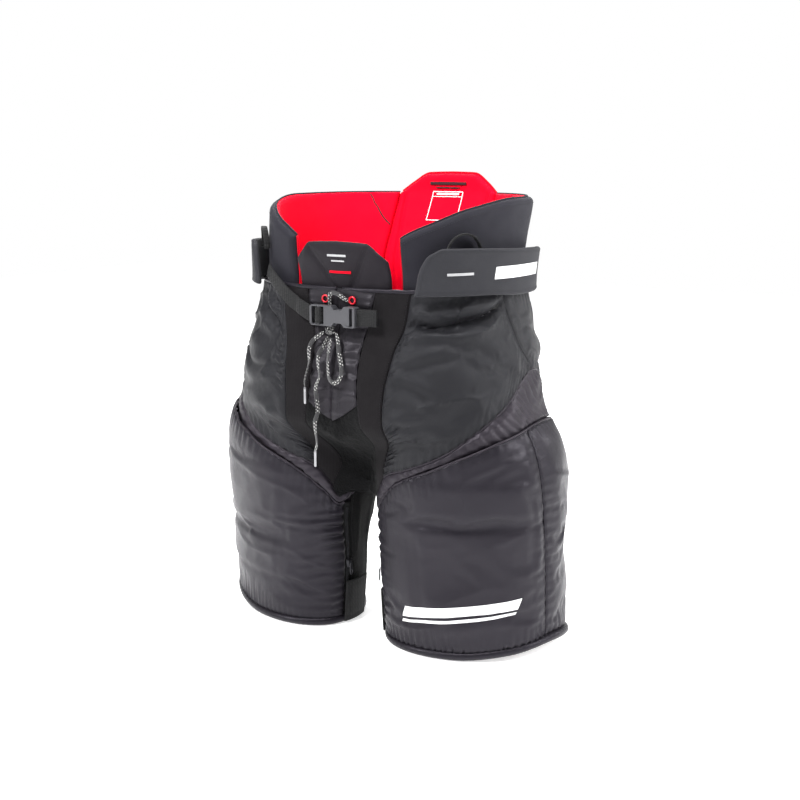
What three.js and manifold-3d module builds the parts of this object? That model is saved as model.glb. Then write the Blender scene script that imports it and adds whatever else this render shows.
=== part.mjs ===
// Ice hockey pants: a short padded girdle with two leg shells, a raised kidney and spine collar,
// foam belt wings, a drawstring fly and a side-release belt buckle.
// Units are millimetres. +X is the wearer's left, the front faces -Y, +Z is up, the hems stand on z = 0.
import * as THREE from 'three';
import { mergeVertices } from 'three/addons/utils/BufferGeometryUtils.js';
import Module from 'manifold-3d';

const wasm = await Module();
wasm.setup();
const { clamp, lerp, smoothstep, degToRad } = THREE.MathUtils;

// ---- driving dimensions -------------------------------------------------------------------------
const BODY_CENTRE_Y = 11.361; // the garment's middle, front to back, moved to y = 0
const CLOTH = 2.2; // thickness of a shell panel
const SEAM = 0.9; // half the gap left at a seam
const SEAM_TURN = 0.0018; // the same gap, as a part of a turn
const CROTCH_Z = 215; // below this each leg closes on itself
const WAIST_Z = 447; // top edge of the shell
const HEM_ROLL = 5.5; // radius of the padded hem binding
const HEM_TOP = 11.8; // height of the panels' lower edge over the hem line
const PLATE = { outside: -4.4, inside: -6.8 }; // plastic guards behind the shell
const FOAM = { outside: -8.2, inside: -18 };
const PAD = { outside: -7, inside: -12 }; // black face of the collar pads
const LINER = { outside: -12.8, inside: -20.4 };
const SPINE_EDGE = 0.868; // where the spine pad meets the kidney pads
const BUCKLE = { x: -4, y: -133.5, z: 415.5, half: 12.25, deep: 11 };
const BELT_HALF = 10; // half the width of the belt webbing
const EYELET = { x: 19, z: 434, radius: 4, wire: 1.1 };
const LACE = { strand: 2, bridge: 1.7 };
const SUPERELLIPSE = 2 / 2.3;

// One leg's section at a height: an ellipse, its centre, half axes and the turn of its long axis.
const LEG = [
  { z: 0, x: 137, y: -20, long: 114, short: 78, turn: 30 },
  { z: 90, x: 133, y: -20, long: 116, short: 82, turn: 29 },
  { z: 180, x: 126, y: -20, long: 118, short: 90, turn: 26 },
  { z: 240, x: 118, y: -18, long: 118, short: 98, turn: 20 },
  { z: 300, x: 110, y: -10, long: 112, short: 104, turn: 14 },
];
// The body's section at a height: half width, half depth and the middle, front to back.
const TORSO = [
  { z: 200, half: 226, deep: 130, y: -6 },
  { z: 260, half: 214, deep: 140, y: -8 },
  { z: 300, half: 200, deep: 146, y: -8 },
  { z: 330, half: 194, deep: 146, y: -6 },
  { z: 360, half: 188, deep: 141, y: -4 },
  { z: 408, half: 179, deep: 128, y: -1 },
  { z: 447, half: 173, deep: 123, y: 0 },
  { z: 500, half: 172, deep: 137, y: 8 },
  { z: 550, half: 173, deep: 150, y: 19 },
  { z: 590, half: 173, deep: 152, y: 22 },
];
// Seams and edges. A place on the garment is a turn (0 inner leg or centre front, 0.5 side,
// 1 inner leg or centre back) and a height.
const HEM_LINE = [[0, 2], [0.1, 0], [0.26, 0], [0.36, 6], [0.46, 15], [0.58, 8], [0.7, 0], [0.9, 0], [1, 2]];
const THIGH_TOP = [[0, 205], [0.08, 168], [0.12, 187], [0.175, 213], [0.235, 235], [0.3, 259], [0.37, 275],
  [0.5, 287], [0.6, 281], [0.75, 255], [0.9, 226], [1, 205]];
const HIP_LINE = [[0, 215], [0.083, 181], [0.113, 201], [0.15, 222], [0.2, 236], [0.25, 254], [0.3, 280],
  [0.4, 311], [0.53, 346], [0.62, 335], [0.75, 300], [0.9, 255], [1, 215]];
const ZIP_LINE = [[15, 0.034], [90, 0.04], [150, 0.058], [205, 0.062]];
const STRIP_OUTER = [[225, 0.14], [255, 0.116], [290, 0.094], [320, 0.098], [352, 0.108], [380, 0.12],
  [405, 0.14], [447, 0.158]];
const STRIP_INNER = [[190, 0.1], [240, 0.078], [290, 0.046], [350, 0.042], [385, 0.046], [410, 0.058], [447, 0.075]];
const HIP_SIDE = [[345, 0.53], [397, 0.467], [420, 0.446], [447, 0.436]];
const SEAT_INNER = [[247, 0.93], [312, 0.985], [323, 1], [447, 1]];
const LEG_SIDE = 0.44;
const LEG_BACK = 0.8;
const COLLAR_TOP = [[0.12, 499], [0.135, 507], [0.21, 523], [0.33, 541], [0.5, 551], [0.87, 549]];
const SPINE_TOP = [[0, 577], [0.4, 576], [0.7, 564], [1, 548]];
const WING_LOW = [[0.16, 441], [0.35, 442], [0.5, 438], [0.64, 438]];
const WING_HIGH = [[0.16, 496], [0.25, 498], [0.5, 494], [0.64, 492]];
const WING_FRONT = [[438, 0.167], [470, 0.179], [489, 0.2], [498, 0.235]];
const WING_BACK = 0.64;
const BELT_LINE = [[0.045, 415.5], [0.075, 420], [0.11, 427], [0.17, 443], [0.24, 461]];

// ---- the garment's surface ----------------------------------------------------------------------
// A smooth curve through the points that never swings past them.
function through(points, x) {
  let i = 0;
  while (i < points.length - 2 && x > points[i + 1][0]) i += 1;
  const slope = (k) => (points[k + 1][1] - points[k][1]) / (points[k + 1][0] - points[k][0]);
  const tangent = (k) => {
    if (k === 0) return slope(0);
    if (k === points.length - 1) return slope(k - 1);
    const [before, after] = [slope(k - 1), slope(k)];
    return before * after <= 0 ? 0 : (2 * before * after) / (before + after);
  };
  const [[x0, y0], [x1, y1]] = [points[i], points[i + 1]];
  const h = x1 - x0;
  const t = clamp((x - x0) / h, 0, 1);
  const ease = t * t * (3 - 2 * t);
  return lerp(y0, y1, ease) + h * t * (1 - t) * ((1 - t) * tangent(i) - t * tangent(i + 1));
}

const station = (rows, key, z) => through(rows.map((row) => [row.z, row[key]]), z);
const wrap = (turn) => turn - Math.floor(turn);
const round = (line) => (turn) => through(line, wrap(turn));

function legPoint(turn, z) {
  const at = (key) => station(LEG, key, z);
  const lean = degToRad(at('turn'));
  const [long, short] = [at('long'), at('short')];
  const start = Math.atan2(short * Math.sin(lean), long * Math.cos(lean));
  const t = Math.PI + start - 2 * Math.PI * turn;
  return [
    at('x') + long * Math.cos(lean) * Math.cos(t) + short * Math.sin(lean) * Math.sin(t),
    at('y') + long * Math.sin(lean) * Math.cos(t) - short * Math.cos(lean) * Math.sin(t),
  ];
}

// The belly is a little flatter than the seat.
function torsoPoint(turn, z) {
  const s = Math.PI * (clamp(turn, 0, 1) - 0.5);
  const [c, n] = [Math.abs(Math.cos(s)), Math.sin(s)];
  const belly = n < 0 ? 0.09 * (1 - smoothstep(z, 390, 440)) * (1 - c) ** 2 : 0;
  const depth = station(TORSO, 'deep', z) * Math.sign(n) * Math.abs(n) ** SUPERELLIPSE * (1 - belly);
  return [station(TORSO, 'half', z) * c ** SUPERELLIPSE, station(TORSO, 'y', z) + depth];
}

function surface(turn, z) {
  const leg = legPoint(turn, z);
  const torso = torsoPoint(turn, z);
  const joined = 290 + 30 * smoothstep(turn, 0.1, 0.25);
  const w = smoothstep(z, CROTCH_Z, joined);
  return new THREE.Vector3(lerp(leg[0], torso[0], w), lerp(leg[1], torso[1], w) - BODY_CENTRE_Y, z);
}

// A point of the left half, moved out along the surface's normal.
function skin(turn, z, out = 0) {
  const [dTurn, dZ] = [0.004, 1.5];
  const last = z > CROTCH_Z ? Math.min(turn + dTurn, 1) : turn + dTurn;
  const first = z > CROTCH_Z ? Math.max(turn - dTurn, 0) : turn - dTurn;
  const along = surface(last, z).sub(surface(first, z));
  const up = surface(turn, z + dZ).sub(surface(turn, z - dZ));
  return surface(turn, z).addScaledVector(along.cross(up).normalize(), out);
}

// ---- builders -----------------------------------------------------------------------------------
// A closed slab between two layers of points: place(u, v, layer), layer 0 outside and 1 inside.
function slab(place, across, up, closed = false) {
  const columns = closed ? across : across + 1;
  const points = [];
  for (const layer of [0, 1]) {
    for (let i = 0; i < columns; i += 1) {
      for (let j = 0; j <= up; j += 1) points.push(place(i / across, j / up, layer));
    }
  }
  const at = (layer, i, j) => (layer * columns + (i % columns)) * (up + 1) + j;
  const faces = [];
  const quad = (a, b, c, d) => faces.push(a, b, c, a, c, d);
  for (let i = 0; i < across; i += 1) {
    for (let j = 0; j < up; j += 1) {
      quad(at(0, i, j), at(0, i + 1, j), at(0, i + 1, j + 1), at(0, i, j + 1));
      quad(at(1, i, j), at(1, i, j + 1), at(1, i + 1, j + 1), at(1, i + 1, j));
    }
    quad(at(0, i + 1, 0), at(0, i, 0), at(1, i, 0), at(1, i + 1, 0));
    quad(at(0, i, up), at(0, i + 1, up), at(1, i + 1, up), at(1, i, up));
  }
  for (let j = 0; j < up && !closed; j += 1) {
    quad(at(0, 0, j), at(0, 0, j + 1), at(1, 0, j + 1), at(1, 0, j));
    quad(at(0, across, j + 1), at(0, across, j), at(1, across, j), at(1, across, j + 1));
  }
  const geometry = new THREE.BufferGeometry().setFromPoints(points);
  geometry.setIndex(faces);
  geometry.computeVertexNormals();
  return geometry;
}

const value = (edge, at) => (typeof edge === 'function' ? edge(at) : edge);

// A panel of the left half: edges in turn and height, and how far its two faces stand out.
// Where the edges have a corner, `corner` gives its turn and the column that falls on it.
function panel({ from, to, low, high, outside = 0, inside = -CLOTH, across, up, corner, proud = () => 0 }) {
  const turnAt = (u, z) => {
    const [first, last] = [value(from, z) + SEAM_TURN, value(to, z) - SEAM_TURN];
    if (!corner) return lerp(first, last, u);
    const at = corner.column / across;
    return u < at ? lerp(first, corner.turn, u / at) : lerp(corner.turn, last, (u - at) / (1 - at));
  };
  return slab((u, v, layer) => {
    let [turn, z] = [0.4, 250];
    for (let pass = 0; pass < 12; pass += 1) {
      turn = turnAt(u, z);
      z = lerp(value(low, turn) + SEAM, value(high, turn) - SEAM, v);
    }
    return skin(turn, z, (layer ? inside : outside) + proud(turn, z));
  }, across, up);
}

function mirrored(geometry) {
  const copy = geometry.clone();
  copy.scale(-1, 1, 1);
  const index = copy.index.array;
  for (let i = 0; i < index.length; i += 3) [index[i], index[i + 1]] = [index[i + 1], index[i]];
  copy.computeVertexNormals();
  return copy;
}

// Shared vertices are merged, so that the surface is closed.
function welded(geometry) {
  geometry.deleteAttribute('normal');
  geometry.deleteAttribute('uv');
  const merged = mergeVertices(geometry, 1e-4);
  merged.computeVertexNormals();
  return merged;
}

function toSolid(geometry) {
  const merged = welded(geometry.clone());
  return new wasm.Manifold(new wasm.Mesh({
    numProp: 3,
    vertProperties: new Float32Array(merged.attributes.position.array),
    triVerts: new Uint32Array(merged.index.array),
  }));
}

function carve(body, cutters, additions = []) {
  let solid = toSolid(body);
  for (const extra of additions) solid = solid.add(toSolid(extra));
  for (const cutter of cutters) solid = solid.subtract(toSolid(cutter));
  const mesh = solid.getMesh();
  const geometry = new THREE.BufferGeometry();
  geometry.setAttribute('position', new THREE.BufferAttribute(new Float32Array(mesh.vertProperties), 3));
  geometry.setIndex(new THREE.BufferAttribute(new Uint32Array(mesh.triVerts), 1));
  geometry.computeVertexNormals();
  return geometry;
}

// An outline in X and Z, extruded through the thickness about a middle y.
function plate(outline, y, thickness) {
  const shape = new THREE.Shape(outline.map(([x, z]) => new THREE.Vector2(x, z)));
  const geometry = new THREE.ExtrudeGeometry(shape, { depth: thickness, bevelEnabled: false });
  return welded(geometry.rotateX(Math.PI / 2).translate(0, y + thickness / 2, 0));
}

function block(x0, x1, z0, z1, y, thickness) {
  return new THREE.BoxGeometry(x1 - x0, thickness, z1 - z0).translate((x0 + x1) / 2, y, (z0 + z1) / 2);
}

function tube(route, radius, steps, sides = 8) {
  const ring = new THREE.Shape();
  ring.setFromPoints(Array.from({ length: sides }, (_, k) => {
    const angle = (2 * Math.PI * k) / sides;
    return new THREE.Vector2(radius * Math.cos(angle), radius * Math.sin(angle));
  }));
  const path = new THREE.CatmullRomCurve3(route.map(([x, y, z]) => new THREE.Vector3(x, y - BODY_CENTRE_Y, z)));
  return welded(new THREE.ExtrudeGeometry(ring, { steps, extrudePath: path, bevelEnabled: false }));
}

// ---- the object ---------------------------------------------------------------------------------
const finish = (color, roughness, metalness = 0) => new THREE.MeshStandardMaterial({ color, roughness, metalness });
const FINISH = {
  nylon: finish(0x46444a, 0.5),
  matte: finish(0x424346, 0.8),
  stretch: finish(0x262326, 0.9),
  mesh: finish(0x121214, 0.9),
  pad: finish(0x323036, 0.7),
  liner: finish(0xff0a32, 0.6),
  foam: finish(0xb8b8b0, 0.9),
  wing: finish(0x3e3e42, 0.8),
  webbing: finish(0x232324, 0.85),
  plastic: finish(0x64646a, 0.4),
  guard: finish(0x2c2c2e, 0.5),
  zip: finish(0x202022, 0.8),
  metal: finish(0xa0a0a4, 0.35, 1),
  lace: finish(0x1c1c1e, 0.85),
  eyelet: finish(0xe01030, 0.4),
};

const pants = new THREE.Group();

function add(name, geometry, material) {
  const mesh = new THREE.Mesh(geometry, material);
  mesh.name = name;
  pants.add(mesh);
}

function addPair(name, geometry, material) {
  add(`left_${name}`, geometry, material);
  add(`right_${name}`, mirrored(geometry), material);
}

// The leg shells stand proud of the hips at the side, where the thigh pads end.
const proudThigh = (turn, z) => 6 * smoothstep(z, 120, 270) * smoothstep(turn, 0.12, 0.26) * (1 - smoothstep(turn, 0.7, 0.9));
const hemEdge = (turn) => round(HEM_LINE)(turn) + HEM_TOP;
const thighTop = round(THIGH_TOP);
const hipLine = round(HIP_LINE);
const ZIP_HALF = 0.0095;
const zipTurn = (z) => through(ZIP_LINE, z);
const stripInner = (z) => through(STRIP_INNER, z);
const stripOuter = (z) => through(STRIP_OUTER, z);
const hipSide = (z) => through(HIP_SIDE, z);

function legShells() {
  const shared = { low: hemEdge, high: thighTop, proud: proudThigh, up: 8 };
  const zipFront = (z) => zipTurn(z) + ZIP_HALF;
  const corner = { turn: 0.08, column: 1 };
  addPair('thigh_panel', panel({ ...shared, from: zipFront, to: LEG_SIDE, across: 12, corner }), FINISH.nylon);
  addPair('rear_leg_panel', panel({ ...shared, from: LEG_SIDE, to: LEG_BACK, across: 7 }), FINISH.nylon);
  const zipBack = (z) => zipTurn(z) - ZIP_HALF;
  addPair('inseam_panel', panel({ ...shared, from: LEG_BACK - 1, to: zipBack, across: 6 }), FINISH.mesh);
  const inner = { proud: proudThigh, ...PLATE };
  const guardTop = (turn) => thighTop(turn) - 22;
  const cover = { from: 0.14, to: 0.43, across: 8, up: 4 };
  addPair('thigh_guard', panel({ ...inner, ...cover, low: 45, high: guardTop }), FINISH.guard);
  const foamTop = (turn) => thighTop(turn) - 14;
  const foam = { proud: proudThigh, ...FOAM, ...cover, low: 25, high: foamTop };
  addPair('thigh_foam', panel(foam), FINISH.foam);
}

function extensionBand() {
  const ring = slab((u, v, layer) => {
    const z = lerp(thighTop(u) + 2 * SEAM, hipLine(u) - SEAM, v);
    return skin(u, z, layer ? -CLOTH : 0);
  }, 50, 2, true);
  addPair('extension_band', ring, FINISH.nylon);
}

// The padded roll round a leg's opening, an octagon with one flat side down.
function hemBinding() {
  const [around, sides] = [36, 8];
  const corner = HEM_ROLL / Math.cos(Math.PI / sides);
  const points = [];
  for (let i = 0; i < around; i += 1) {
    const turn = i / around;
    const z = round(HEM_LINE)(turn) + HEM_ROLL;
    for (let k = 0; k < sides; k += 1) {
      const angle = (2 * Math.PI * (k + 0.5)) / sides;
      const point = skin(turn, 20, corner * Math.cos(angle) - 3);
      points.push(point.setZ(z + corner * Math.sin(angle)));
    }
  }
  const faces = [];
  for (let i = 0; i < around; i += 1) {
    for (let k = 0; k < sides; k += 1) {
      const [next, over] = [(i + 1) % around, (k + 1) % sides];
      const [a, b, c, d] = [i * sides + k, next * sides + k, next * sides + over, i * sides + over];
      faces.push(a, b, c, a, c, d);
    }
  }
  const geometry = new THREE.BufferGeometry().setFromPoints(points);
  geometry.setIndex(faces);
  geometry.computeVertexNormals();
  addPair('hem_binding', geometry, FINISH.nylon);
}

// The zip up the inner leg: tape, slider and the pull that hangs from it.
const ZIP = { low: 18, high: 158, rest: 84, top: 149 };

function zipFrame(z) {
  const origin = skin(zipTurn(z), z);
  const up = skin(zipTurn(ZIP.top), ZIP.top).sub(skin(zipTurn(ZIP.rest), ZIP.rest)).normalize();
  const out = skin(zipTurn(z), z, 1).sub(origin);
  out.addScaledVector(up, -out.dot(up)).normalize();
  const across = new THREE.Vector3().crossVectors(out, up);
  return new THREE.Matrix4().makeBasis(across, out, up).setPosition(origin);
}

function legZip() {
  const tape = panel({
    from: (z) => zipTurn(z) - ZIP_HALF + 0.001, to: (z) => zipTurn(z) + ZIP_HALF - 0.001,
    low: ZIP.low, high: ZIP.high, outside: -0.4, inside: -2, across: 2, up: 8,
  });
  addPair('zip_tape', tape, FINISH.zip);
  const frame = zipFrame(ZIP.rest);
  const slider = new THREE.Shape([[-4.2, 6], [-4.2, 1], [-2.6, -6], [2.6, -6], [4.2, 1], [4.2, 6]]
    .map(([x, z]) => new THREE.Vector2(x, z)));
  const body = new THREE.ExtrudeGeometry(slider, { depth: 3.4, bevelEnabled: false });
  addPair('zip_slider', welded(body.rotateX(Math.PI / 2).translate(0, 4.8, 0).applyMatrix4(frame)), FINISH.metal);
  const eye = new THREE.Vector3(0, 6.8, 0.5).applyMatrix4(frame);
  const out = new THREE.Vector3().setFromMatrixColumn(frame, 1).setZ(0).normalize();
  const pull = new THREE.BoxGeometry(1.4, 5, 17).translate(0, 0, -7).rotateZ(Math.atan2(out.y, out.x));
  addPair('zip_pull', welded(pull.translate(eye.x, eye.y, eye.z)), FINISH.metal);
}

// The strap tab that closes the foot of the zip.
function hemTab() {
  const tab = panel({ from: -0.03, to: 0.046, low: 4, high: 60, outside: 6.4, inside: 4.6, across: 5, up: 3 });
  addPair('hem_tab', tab, FINISH.webbing);
}

function girdle() {
  addPair('hip_panel', panel({ from: stripOuter, to: hipSide, low: hipLine, high: WAIST_Z, across: 9, up: 10 }), FINISH.matte);
  const seatInner = (z) => through(SEAT_INNER, z);
  addPair('seat_panel', panel({ from: hipSide, to: seatInner, low: hipLine, high: WAIST_Z, across: 14, up: 10 }), FINISH.matte);
  addPair('stretch_strip', panel({ from: stripInner, to: stripOuter, low: hipLine, high: WAIST_Z, across: 3, up: 10 }), FINISH.stretch);
  addPair('hip_guard', panel({ ...PLATE, from: 0.28, to: 0.72, low: 356, high: 409, across: 7, up: 2 }), FINISH.guard);
  add('tailbone_guard', central((s) => 1 - 0.11 * s, () => 330, () => 411, PLATE, 8, 3), FINISH.guard);
  add('fly_panel', flyPanel(), FINISH.nylon);
  add('crotch_gusset', crotchGusset(), FINISH.mesh);
  add('waistband', waistband(), FINISH.webbing);
}

// A piece across the centre line: turnAt(0) is its middle and turnAt(1) its edge.
function central(turnAt, lowAt, highAt, { outside, inside }, across, up) {
  const back = turnAt(0) > 0.5 ? -1 : 1;
  return slab((u, v, layer) => {
    const s = 2 * u - 1;
    const reach = Math.abs(s);
    const z = lerp(lowAt(reach), highAt(reach), v);
    const point = skin(turnAt(reach, z), z, layer ? inside : outside);
    return point.setX(Math.abs(point.x) * Math.sign(s) * back);
  }, across, up);
}

// A shield-shaped panel between the stretch strips, pointed at its foot.
const SHIELD = { tip: 290, rise: 22 };

function flyPanel() {
  const cloth = { outside: 0, inside: -CLOTH };
  const low = (s) => SHIELD.tip + SEAM + SHIELD.rise * s;
  return central((s, z = WAIST_Z) => (stripInner(z) - SEAM_TURN) * s, low, () => WAIST_Z - SEAM, cloth, 8, 8);
}

// The mesh saddle between the legs, from the foot of the fly to the seat seam.
function gussetEdge(t) {
  const [front, under, behind] = [0.3, 0.55, 0.75];
  if (t < front) {
    const z = lerp(SHIELD.tip + SHIELD.rise - SEAM, 193, t / front);
    return skin(stripInner(z) - SEAM_TURN, z);
  }
  const turn = t < under ? lerp(0.097, 0, (t - front) / (under - front)) : lerp(1, 0.93, (t - under) / (behind - under));
  if (t < behind) return skin(turn, hipLine(turn) + 2 * SEAM);
  const z = lerp(hipLine(0.93) + 2 * SEAM, 314, (t - behind) / (1 - behind));
  return skin(through(SEAT_INNER, z) + 2 * SEAM_TURN, z);
}

function crotchGusset() {
  const valley = [[0, 2], [0.15, 12], [0.3, 20], [0.55, 2], [0.7, 0], [1, 0]];
  return slab((u, v, layer) => {
    const s = 2 * u - 1;
    const edge = gussetEdge(1 - v);
    const [t, lean] = [1 - v, Math.PI * smoothstep(1 - v, 0.2, 0.85)];
    const foot = SHIELD.rise * (1 - Math.abs(s)) * (1 - smoothstep(t, 0, 0.25));
    const point = new THREE.Vector3(edge.x * s, edge.y + through(valley, t) * (1 - s * s), edge.z - foot);
    const depth = layer ? CLOTH : 0;
    return point.add(new THREE.Vector3(0, depth * Math.cos(lean), depth * Math.sin(lean)));
  }, 8, 20);
}

// Elastic webbing inside the top edge, open at the fly.
function waistband() {
  const front = 0.135;
  return slab((u, v, layer) => {
    const turn = 1 - (1 - front) * Math.abs(2 * u - 1);
    const point = skin(turn, lerp(425, 446, v), layer ? -5.4 : -3.6);
    return u < 0.5 ? point.setX(-point.x) : u > 0.5 ? point : point.setX(0);
  }, 44, 1).applyMatrix4(new THREE.Matrix4().makeScale(-1, 1, 1));
}

function collar() {
  const top = (turn) => through(COLLAR_TOP, turn);
  const kidney = { from: 0.128, to: SPINE_EDGE - 0.005, high: top, up: 5 };
  addPair('kidney_pad', panel({ ...kidney, ...PAD, low: 414, across: 10 }), FINISH.pad);
  addPair('kidney_liner', panel({ ...kidney, ...LINER, from: 0.134, low: 418, across: 10 }), FINISH.liner);
  const spine = (s) => 1 - (1 - SPINE_EDGE) * s;
  const spineTop = (s) => through(SPINE_TOP, s);
  add('spine_pad', central(spine, () => 418, spineTop, PAD, 8, 5), FINISH.pad);
  add('spine_liner', central(spine, () => 421, spineTop, LINER, 8, 5), FINISH.liner);
  add('belly_pad', bellyPad(), FINISH.pad);
}

// The tongue behind the fly: it leans forward over the waist.
function bellyPad() {
  const [half, low, thick] = [64, 402, 9];
  const top = [[0, 503], [40, 501], [52, 491], [64, 480]];
  return slab((u, v, layer) => {
    const x = lerp(-half, half, u);
    const z = lerp(low, through(top, Math.abs(x)), v);
    const face = -117.8 + 5 * (x / half) ** 2 - 15 * smoothstep(z, 450, 505);
    return new THREE.Vector3(x, face + (layer ? thick : 0) - BODY_CENTRE_Y, z);
  }, 8, 6);
}

// Foam belt wings, sewn at the back and free at the front; the right one is drawn further back.
const wingStand = (turn) => lerp(9, 4, smoothstep(turn, 0.25, 0.5));

function wing(shift) {
  const front = (z) => through(WING_FRONT, z) + shift;
  return panel({
    from: front, to: WING_BACK, low: (turn) => through(WING_LOW, turn), high: (turn) => through(WING_HIGH, turn),
    outside: 8, inside: 0, across: 10, up: 4, proud: wingStand,
  });
}

function sideLoop() {
  const [middle, reach, foot, rise, thick] = [0.3, 0.052, 487, 27, 2.4];
  return slab((u, v, layer) => {
    const angle = Math.PI * (1 - u);
    const size = 1 - (1 - v) * (thick / rise);
    const turn = middle + reach * size * Math.cos(angle);
    return skin(turn, foot + rise * size * Math.sin(angle), layer ? -3.5 : 4);
  }, 14, 1);
}

function wings() {
  add('left_wing', wing(0), FINISH.wing);
  add('right_wing', mirrored(wing(0.075)), FINISH.wing);
  addPair('side_loop', sideLoop(), FINISH.webbing);
}

// ---- belt and buckle ----------------------------------------------------------------------------
const buckleY = BUCKLE.y - BODY_CENTRE_Y;
const inBuckle = (outline) => outline.map(([x, z]) => [x + BUCKLE.x, z + BUCKLE.z]);
const buckleBlock = (x0, x1, z0, z1, thickness) => block(
  x0 + BUCKLE.x, x1 + BUCKLE.x, z0 + BUCKLE.z, z1 + BUCKLE.z, buckleY, thickness,
);

function buckleSocket() {
  const h = BUCKLE.half;
  const upper = [[35, h - 1.5], [33, h], [20, h], [16, h - 4.5], [6, h - 4.5], [2, h], [-4.5, h]];
  const lower = upper.map(([x, z]) => [x, -z]).reverse();
  const body = plate(inBuckle([...upper, ...lower]), buckleY, BUCKLE.deep);
  const cavity = buckleBlock(-6, 23, -8.3, 8.3, 6.6);
  const slot = buckleBlock(27.5, 31.5, -10.4, 10.4, BUCKLE.deep + 2);
  return carve(body, [cavity, slot]);
}

// The plug: ladder frame for the long strap, and the guide between its two prongs.
function bucklePlug() {
  const h = BUCKLE.half;
  const frame = plate(inBuckle([[-30, -h + 2], [-28, -h], [-5, -h], [-5, h], [-28, h], [-30, h - 2]]), buckleY, 7);
  const windows = [buckleBlock(-27, -19, -10.3, 10.3, 12), buckleBlock(-16, -10, -10.3, 10.3, 12)];
  const guide = buckleBlock(-5.5, 16, -1.2, 1.2, 4.4);
  return carve(frame, windows, [guide]);
}

function prong(up) {
  const outline = [[-4.6, 5], [6, 5], [7, 4.4], [17, 4.4], [17, 6.6], [15.5, 7.9], [7, 7.9], [4.5, 7.2], [-4.6, 7.2]];
  const turned = up > 0 ? outline : outline.map(([x, z]) => [x, -z]).reverse();
  return plate(inBuckle(turned), buckleY, 5.2);
}

function belt() {
  const long = slab((u, v, layer) => {
    const turn = lerp(0.056, 0.24, u);
    const z = through(BELT_LINE, turn) + lerp(-BELT_HALF, BELT_HALF, v);
    const toBuckle = 8.6 * (1 - smoothstep(turn, 0.056, 0.1));
    return skin(turn, z, toBuckle + (layer ? 1.2 : 2.8));
  }, 12, 1);
  add('belt_long_strap', mirrored(long), FINISH.webbing);
  const short = buckleBlock(35.4, 62, -BELT_HALF, BELT_HALF, 1.8).translate(0, 1.5, 0);
  add('belt_short_strap', welded(short), FINISH.webbing);
  add('buckle_socket', buckleSocket(), FINISH.plastic);
  add('buckle_plug', bucklePlug(), FINISH.plastic);
  add('upper_prong', prong(1), FINISH.plastic);
  add('lower_prong', prong(-1), FINISH.plastic);
}

// ---- lace ---------------------------------------------------------------------------------------
const BRIDGE = [[17, -130, 433.5], [10, -130, 437], [2, -129.5, 441], [-6, -129.5, 442], [-10.5, -129, 438],
  [-11.6, -126.5, 430], [-11.6, -125, 418], [-11, -125, 408], [-10, -126, 402]];
const RIGHT_STRAND = [[-17.5, -131, 395], [-24, -133, 390], [-31, -136, 383], [-34, -139, 373], [-31, -143, 361],
  [-32, -146, 350], [-34.5, -148, 338], [-33.5, -149, 328]];
const LEFT_STRAND = [[-11, -132, 389.5], [-13, -137, 380], [-18, -142, 369], [-16, -146, 356], [-13, -148, 344],
  [-17.5, -149.5, 331], [-16, -150, 316], [-14.5, -150, 302], [-19, -150, 288], [-18, -150, 274],
  [-16.5, -150, 262], [-19, -150, 252]];
const BOW = [[0.5, -131.5, 395], [5, -135, 386], [9, -139, 374], [13.5, -142, 362], [16.5, -145, 351],
  [14, -147.2, 341.5], [7.5, -147.8, 337.8], [0.8, -147, 341.5], [-3, -144.8, 351], [-5.5, -141, 363],
  [-6, -137.8, 376], [-5, -134.5, 389]];
const AGLET_LENGTH = 18;

function aglet(strand) {
  const [x, y, z] = strand.at(-1);
  const geometry = new THREE.CylinderGeometry(1.75, 1.75, AGLET_LENGTH, 8);
  return welded(geometry.rotateX(Math.PI / 2).translate(x, y - BODY_CENTRE_Y, z - 1.3 - AGLET_LENGTH / 2));
}

function lacing() {
  const eyeletY = torsoPoint(0.03, EYELET.z)[1] - BODY_CENTRE_Y - EYELET.wire - 0.6;
  const eyelet = new THREE.TorusGeometry(EYELET.radius, EYELET.wire, 6, 12).rotateX(Math.PI / 2);
  addPair('eyelet', welded(eyelet.translate(EYELET.x, eyeletY, EYELET.z)), FINISH.eyelet);
  add('lace_bridge', tube(BRIDGE, LACE.bridge, 22), FINISH.lace);
  const knot = new THREE.SphereGeometry(1, 10, 8).scale(7, 4.2, 5.2).translate(-9, -131 - BODY_CENTRE_Y, 397);
  add('lace_knot', welded(knot), FINISH.lace);
  add('lace_bow', tube(BOW, LACE.strand, 30), FINISH.lace);
  add('right_lace', tube(RIGHT_STRAND, LACE.strand, 18), FINISH.lace);
  add('left_lace', tube(LEFT_STRAND, LACE.strand, 32), FINISH.lace);
  add('right_aglet', aglet(RIGHT_STRAND), FINISH.metal);
  add('left_aglet', aglet(LEFT_STRAND), FINISH.metal);
}

legShells();
extensionBand();
hemBinding();
legZip();
hemTab();
girdle();
collar();
wings();
belt();
lacing();

export default pants;
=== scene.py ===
import math

import bpy
import numpy as np
from mathutils import Matrix, Vector


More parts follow.
